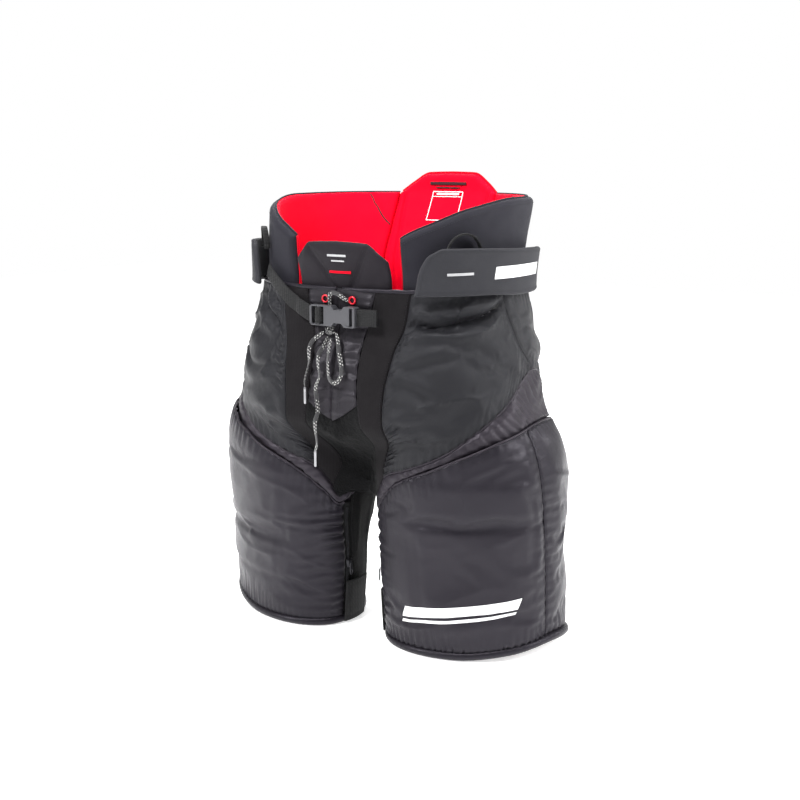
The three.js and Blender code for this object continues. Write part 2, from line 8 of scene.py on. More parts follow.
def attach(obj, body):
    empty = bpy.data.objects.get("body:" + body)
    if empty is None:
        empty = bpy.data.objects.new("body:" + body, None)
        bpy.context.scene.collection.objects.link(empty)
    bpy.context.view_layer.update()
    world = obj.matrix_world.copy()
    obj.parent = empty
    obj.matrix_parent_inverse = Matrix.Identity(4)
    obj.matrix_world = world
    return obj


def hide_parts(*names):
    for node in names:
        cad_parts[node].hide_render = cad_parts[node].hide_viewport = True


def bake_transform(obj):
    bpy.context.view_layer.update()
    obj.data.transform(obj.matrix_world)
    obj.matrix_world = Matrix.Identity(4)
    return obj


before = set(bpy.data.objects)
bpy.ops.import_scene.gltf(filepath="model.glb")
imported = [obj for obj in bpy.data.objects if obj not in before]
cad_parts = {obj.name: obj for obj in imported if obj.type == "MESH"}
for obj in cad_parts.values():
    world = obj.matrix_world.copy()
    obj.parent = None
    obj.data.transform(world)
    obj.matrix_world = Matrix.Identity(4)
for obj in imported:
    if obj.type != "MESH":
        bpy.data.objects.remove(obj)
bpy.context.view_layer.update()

MM = 0.001
CENTRE_Y = 11.361  # the garment's middle, front to back, in the surface's own measure (mm)
SEAM_TURN = 0.0006  # half the gap of a seam
GIRTH = 560.0  # mm round one side of the hips, for the laid-out cloth
LEG_GIRTH = 620.0
PLATE_GIRTH = 640.0
WAIST_Z = 447.0
CROTCH_Z = 215.0
HEM_TOP = 11.8
HEM_ROLL = 5.5

# ---- camera -------------------------------------------------------------------------------------
AZIMUTH, ELEVATION, DISTANCE = math.radians(31), math.radians(12), 1.5


def heading(azimuth, elevation):
    """The direction from the object to a place round it; azimuth 0 is its front."""
    level = math.cos(elevation)
    return Vector((math.sin(azimuth) * level, -math.cos(azimuth) * level, math.sin(elevation)))


target = Vector((0, -CENTRE_Y * MM, 0.285))
back = heading(AZIMUTH, ELEVATION)
camera_data = bpy.data.cameras.new("camera")
camera_data.lens = 51.92
camera_data.sensor_width = 36
camera_data.shift_x = 7 / 800
camera_data.shift_y = 4 / 800
camera = bpy.data.objects.new("camera", camera_data)
bpy.context.scene.collection.objects.link(camera)
camera.location = target + back * DISTANCE
camera.rotation_euler = back.to_track_quat("Z", "Y").to_euler()
bpy.context.scene.camera = camera
bpy.context.scene.view_settings.view_transform = "Standard"

# ---- the garment's surface ----------------------------------------------------------------------
# A place is a turn (0 inner leg or centre front, 0.5 side, 1 inner leg or centre back) and a height.
LEG = np.array([(0, 137, -20, 114, 78, 30), (90, 133, -20, 116, 82, 29), (180, 126, -20, 118, 90, 26),
                (240, 118, -18, 118, 98, 20), (300, 110, -10, 112, 104, 14)], float)
TORSO = np.array([(200, 226, 130, -6), (260, 214, 140, -8), (300, 200, 146, -8), (330, 194, 146, -6),
                  (360, 188, 141, -4), (408, 179, 128, -1), (447, 173, 123, 0), (500, 172, 137, 8),
                  (550, 173, 150, 19), (590, 173, 152, 22)], float)
HEM_LINE = [[0, 2], [.1, 0], [.26, 0], [.36, 6], [.46, 15], [.58, 8], [.7, 0], [.9, 0], [1, 2]]
THIGH_TOP = [[0, 205], [.08, 168], [.12, 187], [.175, 213], [.235, 235], [.3, 259], [.37, 275], [.5, 287],
             [.6, 281], [.75, 255], [.9, 226], [1, 205]]
HIP_LINE = [[0, 215], [.083, 181], [.113, 201], [.15, 222], [.2, 236], [.25, 254], [.3, 280], [.4, 311],
            [.53, 346], [.62, 335], [.75, 300], [.9, 255], [1, 215]]
ZIP_LINE = [[15, .034], [90, .04], [150, .058], [205, .062]]
STRIP_OUTER = [[225, .14], [255, .116], [290, .094], [320, .098], [352, .108], [380, .12], [405, .14],
               [447, .158]]
STRIP_INNER = [[190, .1], [240, .078], [290, .046], [350, .042], [385, .046], [410, .058], [447, .075]]
HIP_SIDE = [[345, .53], [397, .467], [420, .446], [447, .436]]
SEAT_INNER = [[247, .93], [312, .985], [323, 1], [447, 1]]
LEG_SIDE, LEG_BACK, ZIP_HALF = .44, .8, .0095
COLLAR_TOP = [[.12, 499], [.135, 507], [.21, 523], [.33, 541], [.5, 551], [.87, 549]]
SPINE_TOP = [[0, 577], [.4, 576], [.7, 564], [1, 548]]
SPINE_EDGE = .868
WING_LOW = [[.16, 441], [.35, 442], [.5, 438], [.64, 438]]
WING_HIGH = [[.16, 496], [.25, 498], [.5, 494], [.64, 492]]
WING_FRONT = [[438, .167], [470, .179], [489, .2], [498, .235]]
WING_BACK = .64
BELT_LINE = [[.045, 415.5], [.075, 420], [.11, 427], [.17, 443], [.24, 461]]
SHIELD_TIP, SHIELD_RISE = 290, 22  # the fly ends below in a shield
BUCKLE_Y, BUCKLE_Z = -133.5 - CENTRE_Y, 415.5


def ease(x, a, b):
    t = np.clip((np.asarray(x, float) - a) / (b - a), 0, 1)
    return t * t * (3 - 2 * t)


def mix(a, b, w):
    return a * (1 - w) + b * w


def through(points, x):
    """A smooth curve through points (x, y), with no overshoot."""
    p = np.asarray(points, float)
    xs, ys = p[:, 0], p[:, 1]
    s = np.diff(ys) / np.diff(xs)
    tangent = np.empty(len(xs))
    tangent[0], tangent[-1] = s[0], s[-1]
    for k in range(1, len(xs) - 1):
        tangent[k] = 0 if s[k - 1] * s[k] <= 0 else 2 * s[k - 1] * s[k] / (s[k - 1] + s[k])
    x = np.asarray(x, float)
    i = np.clip(np.searchsorted(xs, x, side="left") - 1, 0, len(xs) - 2)
    h = xs[i + 1] - xs[i]
    t = np.clip((x - xs[i]) / h, 0, 1)
    bend = h * t * (1 - t) * ((1 - t) * tangent[i] - t * tangent[i + 1])
    return mix(ys[i], ys[i + 1], t * t * (3 - 2 * t)) + bend


def line(points):
    return lambda x: through(points, x)


def ring(points):
    return lambda turn: through(points, np.asarray(turn, float) % 1.0)


def surface(turn, z):
    """Points on the body inside the garment: an oval leg low down, a boxy oval torso high up."""
    turn, z = np.broadcast_arrays(np.asarray(turn, float), np.asarray(z, float))
    x, y, long, short, lean = (through(LEG[:, [0, k]], z) for k in range(1, 6))
    lean = np.radians(lean)
    start = np.arctan2(short * np.sin(lean), long * np.cos(lean))
    t = np.pi + start - 2 * np.pi * turn
    leg_x = x + long * np.cos(lean) * np.cos(t) + short * np.sin(lean) * np.sin(t)
    leg_y = y + long * np.sin(lean) * np.cos(t) - short * np.cos(lean) * np.sin(t)
    s = np.pi * (np.clip(turn, 0, 1) - .5)
    c, n = np.abs(np.cos(s)), np.sin(s)
    belly = np.where(n < 0, .09 * (1 - ease(z, 390, 440)) * (1 - c) ** 2, 0)
    depth = through(TORSO[:, [0, 2]], z) * np.sign(n) * np.abs(n) ** (2 / 2.3) * (1 - belly)
    body_x = through(TORSO[:, [0, 1]], z) * c ** (2 / 2.3)
    body_y = through(TORSO[:, [0, 3]], z) + depth
    joined = 290 + 30 * ease(turn, .1, .25)
    w = np.clip((z - CROTCH_Z) / (joined - CROTCH_Z), 0, 1)
    w = w * w * (3 - 2 * w)
    return np.stack([mix(leg_x, body_x, w), mix(leg_y, body_y, w) - CENTRE_Y, z * np.ones_like(leg_x)], -1)


def normal(turn, z):
    turn, z = np.broadcast_arrays(np.asarray(turn, float), np.asarray(z, float))
    high = z > CROTCH_Z
    last = np.where(high, np.minimum(turn + .004, 1), turn + .004)
    first = np.where(high, np.maximum(turn - .004, 0), turn - .004)
    n = np.cross(surface(last, z) - surface(first, z), surface(turn, z + 1.5) - surface(turn, z - 1.5))
    return n / np.linalg.norm(n, axis=-1, keepdims=True)


def skin(turn, z, out=0.0):
    out = np.asarray(out, float)
    return surface(turn, z) + normal(turn, z) * out[..., None]


# ---- noise and relief ---------------------------------------------------------------------------
def noise(points, size, seed=0):
    """Smooth noise from -1 to 1; size is one number or one for each axis, in mm."""
    q = np.asarray(points, float) / np.asarray(size, float)
    cell = np.floor(q).astype(np.int64)
    f = q - cell
    f = f * f * (3 - 2 * f)

    def value(dx, dy, dz):
        x, y, z = cell[..., 0] + dx, cell[..., 1] + dy, cell[..., 2] + dz
        h = x * 374761393 + y * 668265263 + z * 1440662683
        h = (h + seed * 97531357) & 0xFFFFFFFF
        h = ((h ^ (h >> 13)) * 1274126177) & 0xFFFFFFFF
        return ((h ^ (h >> 16)) & 0xFFFF) / 32767.5 - 1

    fx, fy, fz = f[..., 0], f[..., 1], f[..., 2]
    low = mix(mix(value(0, 0, 0), value(1, 0, 0), fx), mix(value(0, 1, 0), value(1, 1, 0), fx), fy)
    high = mix(mix(value(0, 0, 1), value(1, 0, 1), fx), mix(value(0, 1, 1), value(1, 1, 1), fx), fy)
    return mix(low, high, fz)


def flat(turn, z):
    """The cloth laid out: mm round, mm up, and a third axis for noise."""
    turn, z = np.broadcast_arrays(np.asarray(turn, float), np.asarray(z, float))
    return np.stack([turn * GIRTH, z, np.zeros_like(z)], -1)


def stroke(place, path, width, height, sharp=1.0):
    """A fold along a path of (turn, height): a ridge, or a crease where height is negative."""
    pts = flat(*np.array(path, float).T)[:, :2]
    fine = [pts[0]]
    for k in range(len(pts) - 1):
        p0, p1, p2, p3 = pts[max(k - 1, 0)], pts[k], pts[k + 1], pts[min(k + 2, len(pts) - 1)]
        for t in np.linspace(0, 1, 9)[1:]:
            fine.append(.5 * (2 * p1 + (p2 - p0) * t + (2 * p0 - 5 * p1 + 4 * p2 - p3) * t * t
                              + (3 * p1 - p0 - 3 * p2 + p3) * t ** 3))
    fine = np.array(fine)
    step = np.linalg.norm(np.diff(fine, axis=0), axis=1)
    run = np.concatenate([[0], np.cumsum(step)])
    best = np.full(place.shape[:-1], 1e9)
    along = np.zeros_like(best)
    for a, b, length, start in zip(fine[:-1], fine[1:], step, run):
        d = b - a
        t = np.clip(((place[..., :2] - a) @ d) / max(length ** 2, 1e-9), 0, 1)
        gap = np.linalg.norm(place[..., :2] - a - t[..., None] * d, axis=-1)
        nearer = gap < best
        best = np.where(nearer, gap, best)
        along = np.where(nearer, (start + t * length) / run[-1], along)
    taper = np.sin(np.pi * np.clip(along, 0, 1)) ** .6
    return height * taper * np.exp(-(best / width) ** (1 + sharp))


def gathers(gap, along, pitch, reach, height, seed=0):
    """Short folds that run away from a seam."""
    spread = np.stack([along, gap * .15, np.zeros_like(gap)], -1)
    wobble = noise(spread, pitch * 3.1, seed)
    strength = .55 + .45 * noise(spread, pitch * 5.3, seed + 7)
    wave = np.sin(2 * np.pi * (along / pitch + .55 * wobble))
    length = reach * (1 + .5 * noise(spread, pitch * 1.3, seed + 13))
    return height * strength * wave * np.exp(-(gap / length) ** 1.4)


def creases(place, long, short, angle, seed, power=3.0):
    """Folds of pulled cloth, long one way and narrow the other."""
    c, s = math.cos(math.radians(angle)), math.sin(math.radians(angle))
    warp = 9 * noise(place, 60, seed + 3)
    q = np.stack([(place[..., 0] * c + place[..., 1] * s) / long,
                  (place[..., 1] * c - place[..., 0] * s + warp) / short, place[..., 2]], -1)
    return (1 - np.abs(noise(q, 1, seed))) ** power


# ---- materials ----------------------------------------------------------------------------------
def srgb(r, g, b):
    return tuple(((c / 255 + .055) / 1.055) ** 2.4 if c > 10 else c / 3294.6 for c in (r, g, b)) + (1.0,)


class Nodes:
    """A short way to write a material's nodes."""

    def __init__(self, name):
        self.material = bpy.data.materials.new(name)
        self.material.use_nodes = True
        self.tree = self.material.node_tree
        self.shader = self.tree.nodes["Principled BSDF"]
        self.coords = self.add("ShaderNodeTexCoord")

    def add(self, kind, **inputs):
        node = self.tree.nodes.new(kind)
        for key, value in inputs.items():
            self.put(node, key, value)
        return node

    def put(self, node, key, value):
        socket = node.inputs[key] if isinstance(key, int) else node.inputs[key.replace("_", " ")]
        if isinstance(value, bpy.types.NodeSocket):
            self.tree.links.new(value, socket)
        else:
            socket.default_value = value

    def math(self, operation, a, b=None, clamp=False):
        node = self.tree.nodes.new("ShaderNodeMath")
        node.operation = operation
        node.use_clamp = clamp
        self.put(node, 0, a)
        if b is not None:
            self.put(node, 1, b)
        return node.outputs[0]

    def noise(self, scale, detail=3.0):
        node = self.add("ShaderNodeTexNoise", Scale=scale, Detail=detail,
                        Vector=self.coords.outputs["Object"])
        return node.outputs["Fac"]

    def spread(self, value, low, high):
        node = self.add("ShaderNodeMapRange")
        for socket, part in enumerate((value, .25, .75, low, high)):
            self.put(node, socket, part)
        return node.outputs[0]

    def blend(self, factor, a, b):
        node = self.tree.nodes.new("ShaderNodeMix")
        node.data_type = "RGBA"
        self.put(node, 0, factor)
        self.put(node, 6, a)
        self.put(node, 7, b)
        return node.outputs[2]

    def bump(self, height, strength, distance, before=None):
        node = self.add("ShaderNodeBump", Strength=strength, Distance=distance, Height=height)
        if before is not None:
            self.put(node, "Normal", before)
        return node.outputs["Normal"]

    def wave(self, coordinate, pitch):
        return self.math("SINE", self.math("MULTIPLY", coordinate, 2 * math.pi / pitch))


def shade(colour, amount):
    return tuple(min(c * amount, 1.0) for c in colour[:3]) + (1.0,)


def cloth(name, colour, rough=.75, pitch=.0007, weave=.35, mottle=.18, sheen=.25, tint=(1, 1, 1, 1),
          pattern="plain",
          specular=.5, fuzz=.25):
    """Woven or knitted fabric: thread relief with a painted highlight on the raised threads, slubs, soft
    blotches and lint.
    """
    n = Nodes(name)
    xyz = n.add("ShaderNodeSeparateXYZ", Vector=n.coords.outputs["Object"])
    side = n.math("ADD", xyz.outputs[0], n.math("MULTIPLY", xyz.outputs[1], .83))
    if pattern == "plain":
        threads = n.math("MULTIPLY", n.wave(side, pitch), n.wave(xyz.outputs[2], pitch))
    elif pattern == "twill":
        threads = n.wave(n.math("ADD", side, xyz.outputs[2]), pitch)
    elif pattern == "rib":
        threads = n.math("ADD", n.math("MULTIPLY", n.wave(xyz.outputs[2], pitch), .8),
                         n.math("MULTIPLY", n.wave(side, pitch * 1.7), .45))
    else:
        cells = n.add("ShaderNodeTexVoronoi", Vector=n.coords.outputs["Object"], Scale=1 / pitch)
        threads = n.spread(cells.outputs["Distance"], 1, -1)
    blotch = n.noise(14, 4)
    grain = n.noise(900, 2)
    low, high = shade(colour, 1 - mottle), shade(colour, 1 + mottle)
    base = n.blend(n.spread(blotch, 0, 1), low, high)
    # painted highlight: the colour is lightened where the weave's bump is high, on the raised threads
    crest_highlight = n.math("MULTIPLY", n.math("ADD", threads, 1), .5, clamp=True)
    base = n.blend(n.math("MULTIPLY", crest_highlight, .3), base, shade(colour, 1.7))
    base = n.blend(n.math("MULTIPLY", n.spread(grain, 0, 1), fuzz), base, shade(colour, .6))
    n.put(n.shader, "Base Color", base)
    n.put(n.shader, "Roughness", n.spread(n.noise(45, 5), rough - .07, rough + .07))
    n.shader.inputs["Specular IOR Level"].default_value = specular
    n.shader.inputs["Sheen Weight"].default_value = sheen
    n.shader.inputs["Sheen Roughness"].default_value = .45
    n.shader.inputs["Sheen Tint"].default_value = tint
    n.shader.inputs["Specular Tint"].default_value = tint
    coarse = n.bump(n.noise(160, 6), .12, .0008)
    n.put(n.shader, "Normal", n.bump(threads, weave, .00018, coarse))
    return n.material


def moulded(name, colour, rough=.38, metal=0.0, grain=600.0, bump=.08, coat=0.0, wear=.25):
    """Moulded plastic, paint or cast metal with fine grain, smears and light scuffs."""
    n = Nodes(name)
    scuff = n.math("POWER", n.noise(70, 8), 3)
    base = n.blend(n.spread(n.noise(22, 5), 0, 1), shade(colour, .88), shade(colour, 1.12))
    base = n.blend(n.math("MULTIPLY", scuff, wear, clamp=True), base, shade(colour, 1.8))
    n.put(n.shader, "Base Color", base)
    n.put(n.shader, "Roughness", n.spread(n.noise(60, 6), rough - .08, rough + .1))
    n.shader.inputs["Metallic"].default_value = metal
    n.shader.inputs["Coat Weight"].default_value = coat
    n.shader.inputs["Coat Roughness"].default_value = .15
    n.put(n.shader, "Normal", n.bump(n.noise(grain, 3), bump, .0002))
    return n.material


NYLON = cloth("nylon", srgb(21, 19, 24), .36, .0006, .25, .12, .03, (.93, .88, 1, 1), "twill", .23, .12)
BAND_NYLON = cloth("band_nylon", srgb(26, 23, 28), .44, .0006, .2, .12, .03, (.96, .88, 1, 1), "twill", .3,
                   .1)
FLY = cloth("fly_nylon", srgb(19, 17, 21), .45, .0006, .25, .12, .02, (.95, .9, 1, 1), "twill", .3, .12)
MATTE = cloth("matte_cloth", srgb(23, 23, 26), .42, .0009, .45, .1, .03, (.95, .95, 1, 1), "plain", .19, .25)
STRETCH = cloth("stretch_knit", srgb(19, 17, 19), .85, .0014, .6, .1, .03, (1, 1, 1, 1), "rib", .12, .3)
MESH = cloth("mesh_knit", srgb(12, 12, 13), .85, .0022, .9, .1, .03, (1, 1, 1, 1), "cells", .12, .2)
COVER = cloth("pad_cover", srgb(26, 25, 31), .72, .0006, .3, .1, .04, (.9, .9, 1, 1), "plain", .22, .2)
TONGUE = cloth("tongue_cover", srgb(20, 17, 21), .62, .0006, .3, .1, .04, (.95, .9, 1, 1), "plain", .2, .2)
LINER = cloth("red_liner", (.7, .0006, .016, 1), .7, .0007, .25, .04, .04, (1, .3, .4, 1), "plain", .1, .03)
RED_EDGE = cloth("red_piping", (.5, .001, .012, 1), .7, .0008, .3, .06, .05, (1, .4, .4, 1), "plain", .15, .1)
WING = cloth("wing_laminate", srgb(40, 40, 44), .82, .0008, .3, .07, .05, (1, 1, 1, 1), "plain", .22, .25)
WEB = cloth("webbing", srgb(22, 22, 23), .7, .0018, 1.0, .1, .05, (1, 1, 1, 1), "rib", .2, .3)
TAPE = cloth("zip_tape_cloth", srgb(17, 17, 18), .8, .0009, .5, .1, .03, (1, 1, 1, 1), "rib", .15, .3)
FOAM = cloth("leg_lining", srgb(40, 40, 43), .85, .003, .8, .12, .08, (1, 1, 1, 1), "cells", .12, .3)
THREAD = cloth("thread", srgb(27, 26, 29), .6, .0004, .3, .1, .02, (1, 1, 1, 1), "twill", .2, .1)
PRINT = cloth("white_print", (.8, .8, .8, 1), .5, .0006, .12, .03, 0, (1, 1, 1, 1), "twill", .4, .05)
GREY_PRINT = cloth("grey_print", (.34, .34, .35, 1), .5, .0006, .12, .03, 0, (1, 1, 1, 1), "twill", .4, .05)
DARK_PRINT = cloth("dark_print", srgb(40, 8, 14), .55, .0006, .12, .03, 0, (1, 1, 1, 1), "twill", .3, .05)
PLASTIC = moulded("buckle_plastic", srgb(62, 62, 66), .36, 0, 500, .05, .1, .15)
GUARD = moulded("guard_plastic", srgb(28, 28, 30), .45, 0, 300, .2)
METAL = moulded("dark_zip_metal", srgb(72, 72, 76), .35, .9, 700, .08, .2, .3)
TIP = moulded("lace_tip", srgb(150, 150, 153), .32, .85, 500, .1, .3, .2)
ENAMEL = moulded("red_enamel", (.7, .003, .02, 1), .28, 0, 300, .03, .5, .1)


# ---- mesh builders ------------------------------------------------------------------------------
def link(name, vertices, faces, materials, body=None, replaces=(), slot=None, indices=None, angle=50):
    """vertices in mm."""
    mesh = bpy.data.meshes.new(name)
    mesh.from_pydata((np.asarray(vertices, float) * MM).tolist(), [], [list(map(int, f)) for f in faces])
    mesh.update()
    obj = bpy.data.objects.new(name, mesh)
    bpy.context.scene.collection.objects.link(obj)
    for material in materials if isinstance(materials, (list, tuple)) else [materials]:
        mesh.materials.append(material)
    mesh.polygons.foreach_set("use_smooth", [True] * len(mesh.polygons))
    if indices is not None:
        mesh.polygons.foreach_set("material_index", np.asarray(indices, np.int32))
    if angle:
        mesh.set_sharp_from_angle(angle=math.radians(angle))
    if body:
        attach(obj, body)
    if replaces:
        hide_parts(*replaces)
    return obj


def slab_mesh(outer, inner, closed=False):
    """Vertices and faces of a closed slab between two grids of points (columns, rows, 3)."""
    columns, rows = outer.shape[:2]
    vertices = np.concatenate([outer.reshape(-1, 3), inner.reshape(-1, 3)])
    index = np.arange(columns * rows).reshape(columns, rows)
    if closed:
        index = np.concatenate([index, index[:1]])
    a, b, c, d = index[:-1, :-1], index[1:, :-1], index[1:, 1:], index[:-1, 1:]
    n = columns * rows
    faces = [np.stack([a, b, c, d], -1).reshape(-1, 4), n + np.stack([a, d, c, b], -1).reshape(-1, 4)]
    rims = [index[::-1, 0], index[:, -1]] + ([] if closed else [index[0], index[-1, ::-1]])
    faces += [np.stack([rim[:-1], rim[1:], n + rim[1:], n + rim[:-1]], -1) for rim in rims]
    kinds = np.concatenate([np.full(len(f), int(k == 1)) for k, f in enumerate(faces)])
    return vertices, np.concatenate(faces), kinds


def fractions(length, step, fine=(.8, 2.0, 4.0)):
    """Places along a side, closer together near its ends."""
    inner = np.linspace(fine[-1], length - fine[-1], max(int((length - 2 * fine[-1]) / step), 2))
    ends = [0, *fine[:-1]]
    return np.concatenate([ends, inner, [length - e for e in reversed(ends)]]) / length


def arc(points, axis):
    step = np.linalg.norm(np.diff(points, axis=axis), axis=-1)
    total = np.cumsum(step, axis=axis)
    zero = np.zeros_like(np.take(total, [0], axis=axis))
    return np.concatenate([zero, total], axis=axis)


class Grid:
    """One cloth panel of a side: places, outer points and distances from its edges, all in mm."""

    def __init__(self, turn, z, side):
        self.turn, self.z, self.side = turn, z, side
        self.base, self.normal = surface(turn, z), normal(turn, z)
        u, v = arc(self.base, 0), arc(self.base, 1)
        self.first, self.last = u, u[-1:] - u
        self.low, self.high = v, v[:, -1:] - v
        self.edge = np.minimum(np.minimum(self.first, self.last), np.minimum(self.low, self.high))
        self.along_u, self.along_v = u, v
        self.place = flat(turn, z)
        self.seeded = self.place + np.array([0, 0, 500.0 * (side < 0)])
        self.outer = self.base

    def raise_to(self, out):
        self.outer = self.base + self.normal * out[..., None]

    def mirror(self, points):
        return points * np.array([self.side, 1, 1])

    def run(self, where, gap, lift=.3):
        """A line of points at a distance from one edge, on the outer face, with its normals."""
        distances = {"first": self.first, "last": self.last, "low": self.low, "high": self.high}[where]
        points, normals = self.outer, self.normal
        if where in ("first", "last"):
            distances, points, normals = distances.T, points.swapaxes(0, 1), normals.swapaxes(0, 1)

        def pick(values):
            return np.array([[np.interp(gap, *ordered(d, row[:, i])) for i in range(3)]
                             for d, row in zip(distances, values)])

        normals = pick(normals)
        return self.mirror(pick(points) + normals * lift), self.mirror(normals)


def ordered(x, y):
    order = np.argsort(x)
    return x[order], y[order]


def edges_of(value, at):
    return value(at) if callable(value) else np.full_like(np.asarray(at, float), value)


def lay_out(side, start, end, low, high, width, height, step, corner=None, gap=.25, fine=(.8, 2.0, 4.0)):
    """Turn and height of each point of a panel between its four edges."""
    u = fractions(width, step, fine)[:, None]
    v = fractions(height, step, fine)[None, :]
    turn = np.full((u.shape[0], v.shape[1]), .4)
    z = np.full_like(turn, 250.0)
    for _ in range(14):
        first = edges_of(start, z) + SEAM_TURN
        last = edges_of(end, z) - SEAM_TURN
        if corner is None:
            turn = mix(first, last, u)
        else:
            share, at = corner
            turn = np.where(u < share, mix(first, at, np.clip(u / share, 0, 1)),
                            mix(at, last, np.clip((u - share) / (1 - share), 0, 1)))
        z = mix(edges_of(low, turn) + gap, edges_of(high, turn) - gap, v)
    return Grid(turn, z, side)


def fixed_winding(vertices, faces):
    """Faces turned, if needed, so that the closed form's volume is positive."""
    corners = np.array([(f[0], f[k], f[k + 1]) for f in faces for k in range(1, len(f) - 1)])
    a, b, c = np.asarray(vertices, float)[corners.T]
    return faces if (a * np.cross(b, c)).sum() > 0 else [f[::-1] for f in faces]


def slab(name, outer, inner, materials, side=1, closed=False, **about):
    """A closed sheet between two grids of points; a second material goes on its inner face."""
    vertices, faces, kinds = slab_mesh(outer, inner, closed)
    vertices = vertices * [side, 1, 1]
    if len(materials) > 1:
        about["indices"] = kinds
    return link(name, vertices, fixed_winding(vertices, faces), materials, **about)


def oval(cx, cz, rx, rz, count=20, square=2.6):
    """Points round an ellipse; a larger square makes it boxier."""
    a = 2 * np.pi * np.arange(count) / count
    c, s = np.cos(a), np.sin(a)
    return np.stack([cx + rx * np.sign(c) * np.abs(c) ** (2 / square),
                     cz + rz * np.sign(s) * np.abs(s) ** (2 / square)], -1)


def loft(rings, closed=False):
    """A form over rings of points, one after another: capped, or closed on itself."""
    rings = np.asarray(rings, float)
    index = np.arange(rings.shape[0] * rings.shape[1]).reshape(rings.shape[:2])
    if closed:
        index = np.concatenate([index, index[:1]])
    around = np.concatenate([index, index[:, :1]], 1)
    a, b, c, d = around[:-1, :-1], around[1:, :-1], around[1:, 1:], around[:-1, 1:]
    faces = np.stack([a, d, c, b], -1).reshape(-1, 4).tolist()
    if not closed:
        faces += [index[0, ::-1].tolist(), index[-1].tolist()]
    vertices = rings.reshape(-1, 3)
    return vertices, fixed_winding(vertices, faces)


def sew(grid, name, material, thickness, lining=None, **about):
    """The panel's closed cloth from its outer face inwards."""
    inner = grid.outer - grid.normal * thickness
    return slab(name, grid.outer, inner, [material, lining or material], grid.side, **about)


def dip(grid, depth=1.5, reach=1.6):
    return -depth * np.exp(-(grid.edge / reach) ** 1.3)


def resample(points, normals, pitch):
    """Points and normals at an even pitch along a line."""
    points = np.asarray(points, float)
    run = np.concatenate([[0], np.cumsum(np.linalg.norm(np.diff(points, axis=0), axis=1))])
    count = max(int(run[-1] / pitch), 2)
    at = (np.arange(count) + .5) * run[-1] / count
    pick = lambda values: np.stack([np.interp(at, run, values[:, i]) for i in range(3)], -1)
    return pick(points), pick(np.asarray(normals))


def unit(v):
    return v / np.maximum(np.linalg.norm(v, axis=-1, keepdims=True), 1e-9)


def spindles(points, normals, tangents, length, width, height):
    """Small closed stitches, each a stretched diamond."""
    side = unit(np.cross(tangents, normals))
    up = unit(np.cross(side, tangents))
    corners = [tangents * length / 2, side * width / 2, up * height / 2, -side * width / 2, -up * height / 2,
               -tangents * length / 2]
    vertices = np.stack([points + c for c in corners], 1).reshape(-1, 3)
    one = np.array([[0, 2, 1], [0, 3, 2], [0, 4, 3], [0, 1, 4], [5, 1, 2], [5, 2, 3], [5, 3, 4], [5, 4, 1]])
    faces = (np.arange(len(points))[:, None, None] * 6 + one[None]).reshape(-1, 3)
    return vertices, faces


def stitch(name, runs, body, pitch=3.1, length=2.3, width=.7, height=.5, slot="shell_nylon"):
    """Runs of thread, each (points, normals)."""
    vertices, faces, total = [], [], 0
    for points, normals in runs:
        p, n = resample(points, normals, pitch)
        t = unit(np.gradient(p, axis=0))
        v, f = spindles(p, unit(n), t, length, width, height)
        vertices.append(v)
        faces.append(f + total)
        total += len(v)
    return link(name, np.concatenate(vertices), np.concatenate(faces), THREAD, body=body, slot=slot,
                angle=None)


def spline(points, step=2.0):
    """An even, smooth line through points."""
    p = np.asarray(points, float)
    p = np.concatenate([[2 * p[0] - p[1]], p, [2 * p[-1] - p[-2]]])
    fine = []
    for k in range(1, len(p) - 2):
        t = np.linspace(0, 1, 24, endpoint=False)[:, None]
        p0, p1, p2, p3 = p[k - 1], p[k], p[k + 1], p[k + 2]
        fine.append(.5 * (2 * p1 + (p2 - p0) * t + (2 * p0 - 5 * p1 + 4 * p2 - p3) * t ** 2
                          + (3 * p1 - p0 - 3 * p2 + p3) * t ** 3))
    fine = np.concatenate([*fine, p[-2:-1]])
    run = np.concatenate([[0], np.cumsum(np.linalg.norm(np.diff(fine, axis=0), axis=1))])
    at = np.linspace(0, run[-1], max(int(run[-1] / step), 3) + 1)
    return np.stack([np.interp(at, run, fine[:, i]) for i in range(3)], -1)


def sweep(points, normals, half_width, half_height, sides=12, square=2.0, closed=False, taper=None):
    """A tube with a rounded flat section; normals face away from its flat side."""
    points, normals = np.asarray(points, float), unit(np.asarray(normals, float))
    tangents = unit(np.roll(points, -1, 0) - np.roll(points, 1, 0) if closed else np.gradient(points, axis=0))
    across = unit(np.cross(tangents, normals))
    up = np.cross(across, tangents)
    size = (np.ones(len(points)) if taper is None else taper)[:, None, None]
    section = oval(0, 0, half_width, half_height, sides, square)
    rings = (points[:, None] + across[:, None] * section[None, :, :1] * size
             + up[:, None] * section[None, :, 1:] * size)
    return loft(rings, closed)


def tube(name, points, normals, half_width, half_height, material, sides=12, square=2.0, **about):
    return link(name, *sweep(points, normals, half_width, half_height, sides, square), material, **about)


def skin_tube(name, side, turn, z, out, half_width, half_height, material, **about):
    """A tube along the garment's surface, at an offset from it, mirrored to its side."""
    turn = turn + 0 * z
    points, normals = skin(turn, z, out + 0 * z) * [side, 1, 1], normal(turn, z) * [side, 1, 1]
    tube(name, points, normals, half_width, half_height, material, **about)


def join(name, parts, materials, indices=None, **about):
    """One object from several closed meshes of (vertices, faces)."""
    vertices, faces, kinds, total = [], [], [], 0
    for k, (v, f) in enumerate(parts):
        vertices.append(np.asarray(v))
        faces += [[int(i) + total for i in face] for face in f]
        kinds += [indices[k] if indices else 0] * len(f)
        total += len(v)
    return link(name, np.concatenate(vertices), faces, materials, indices=kinds, **about)


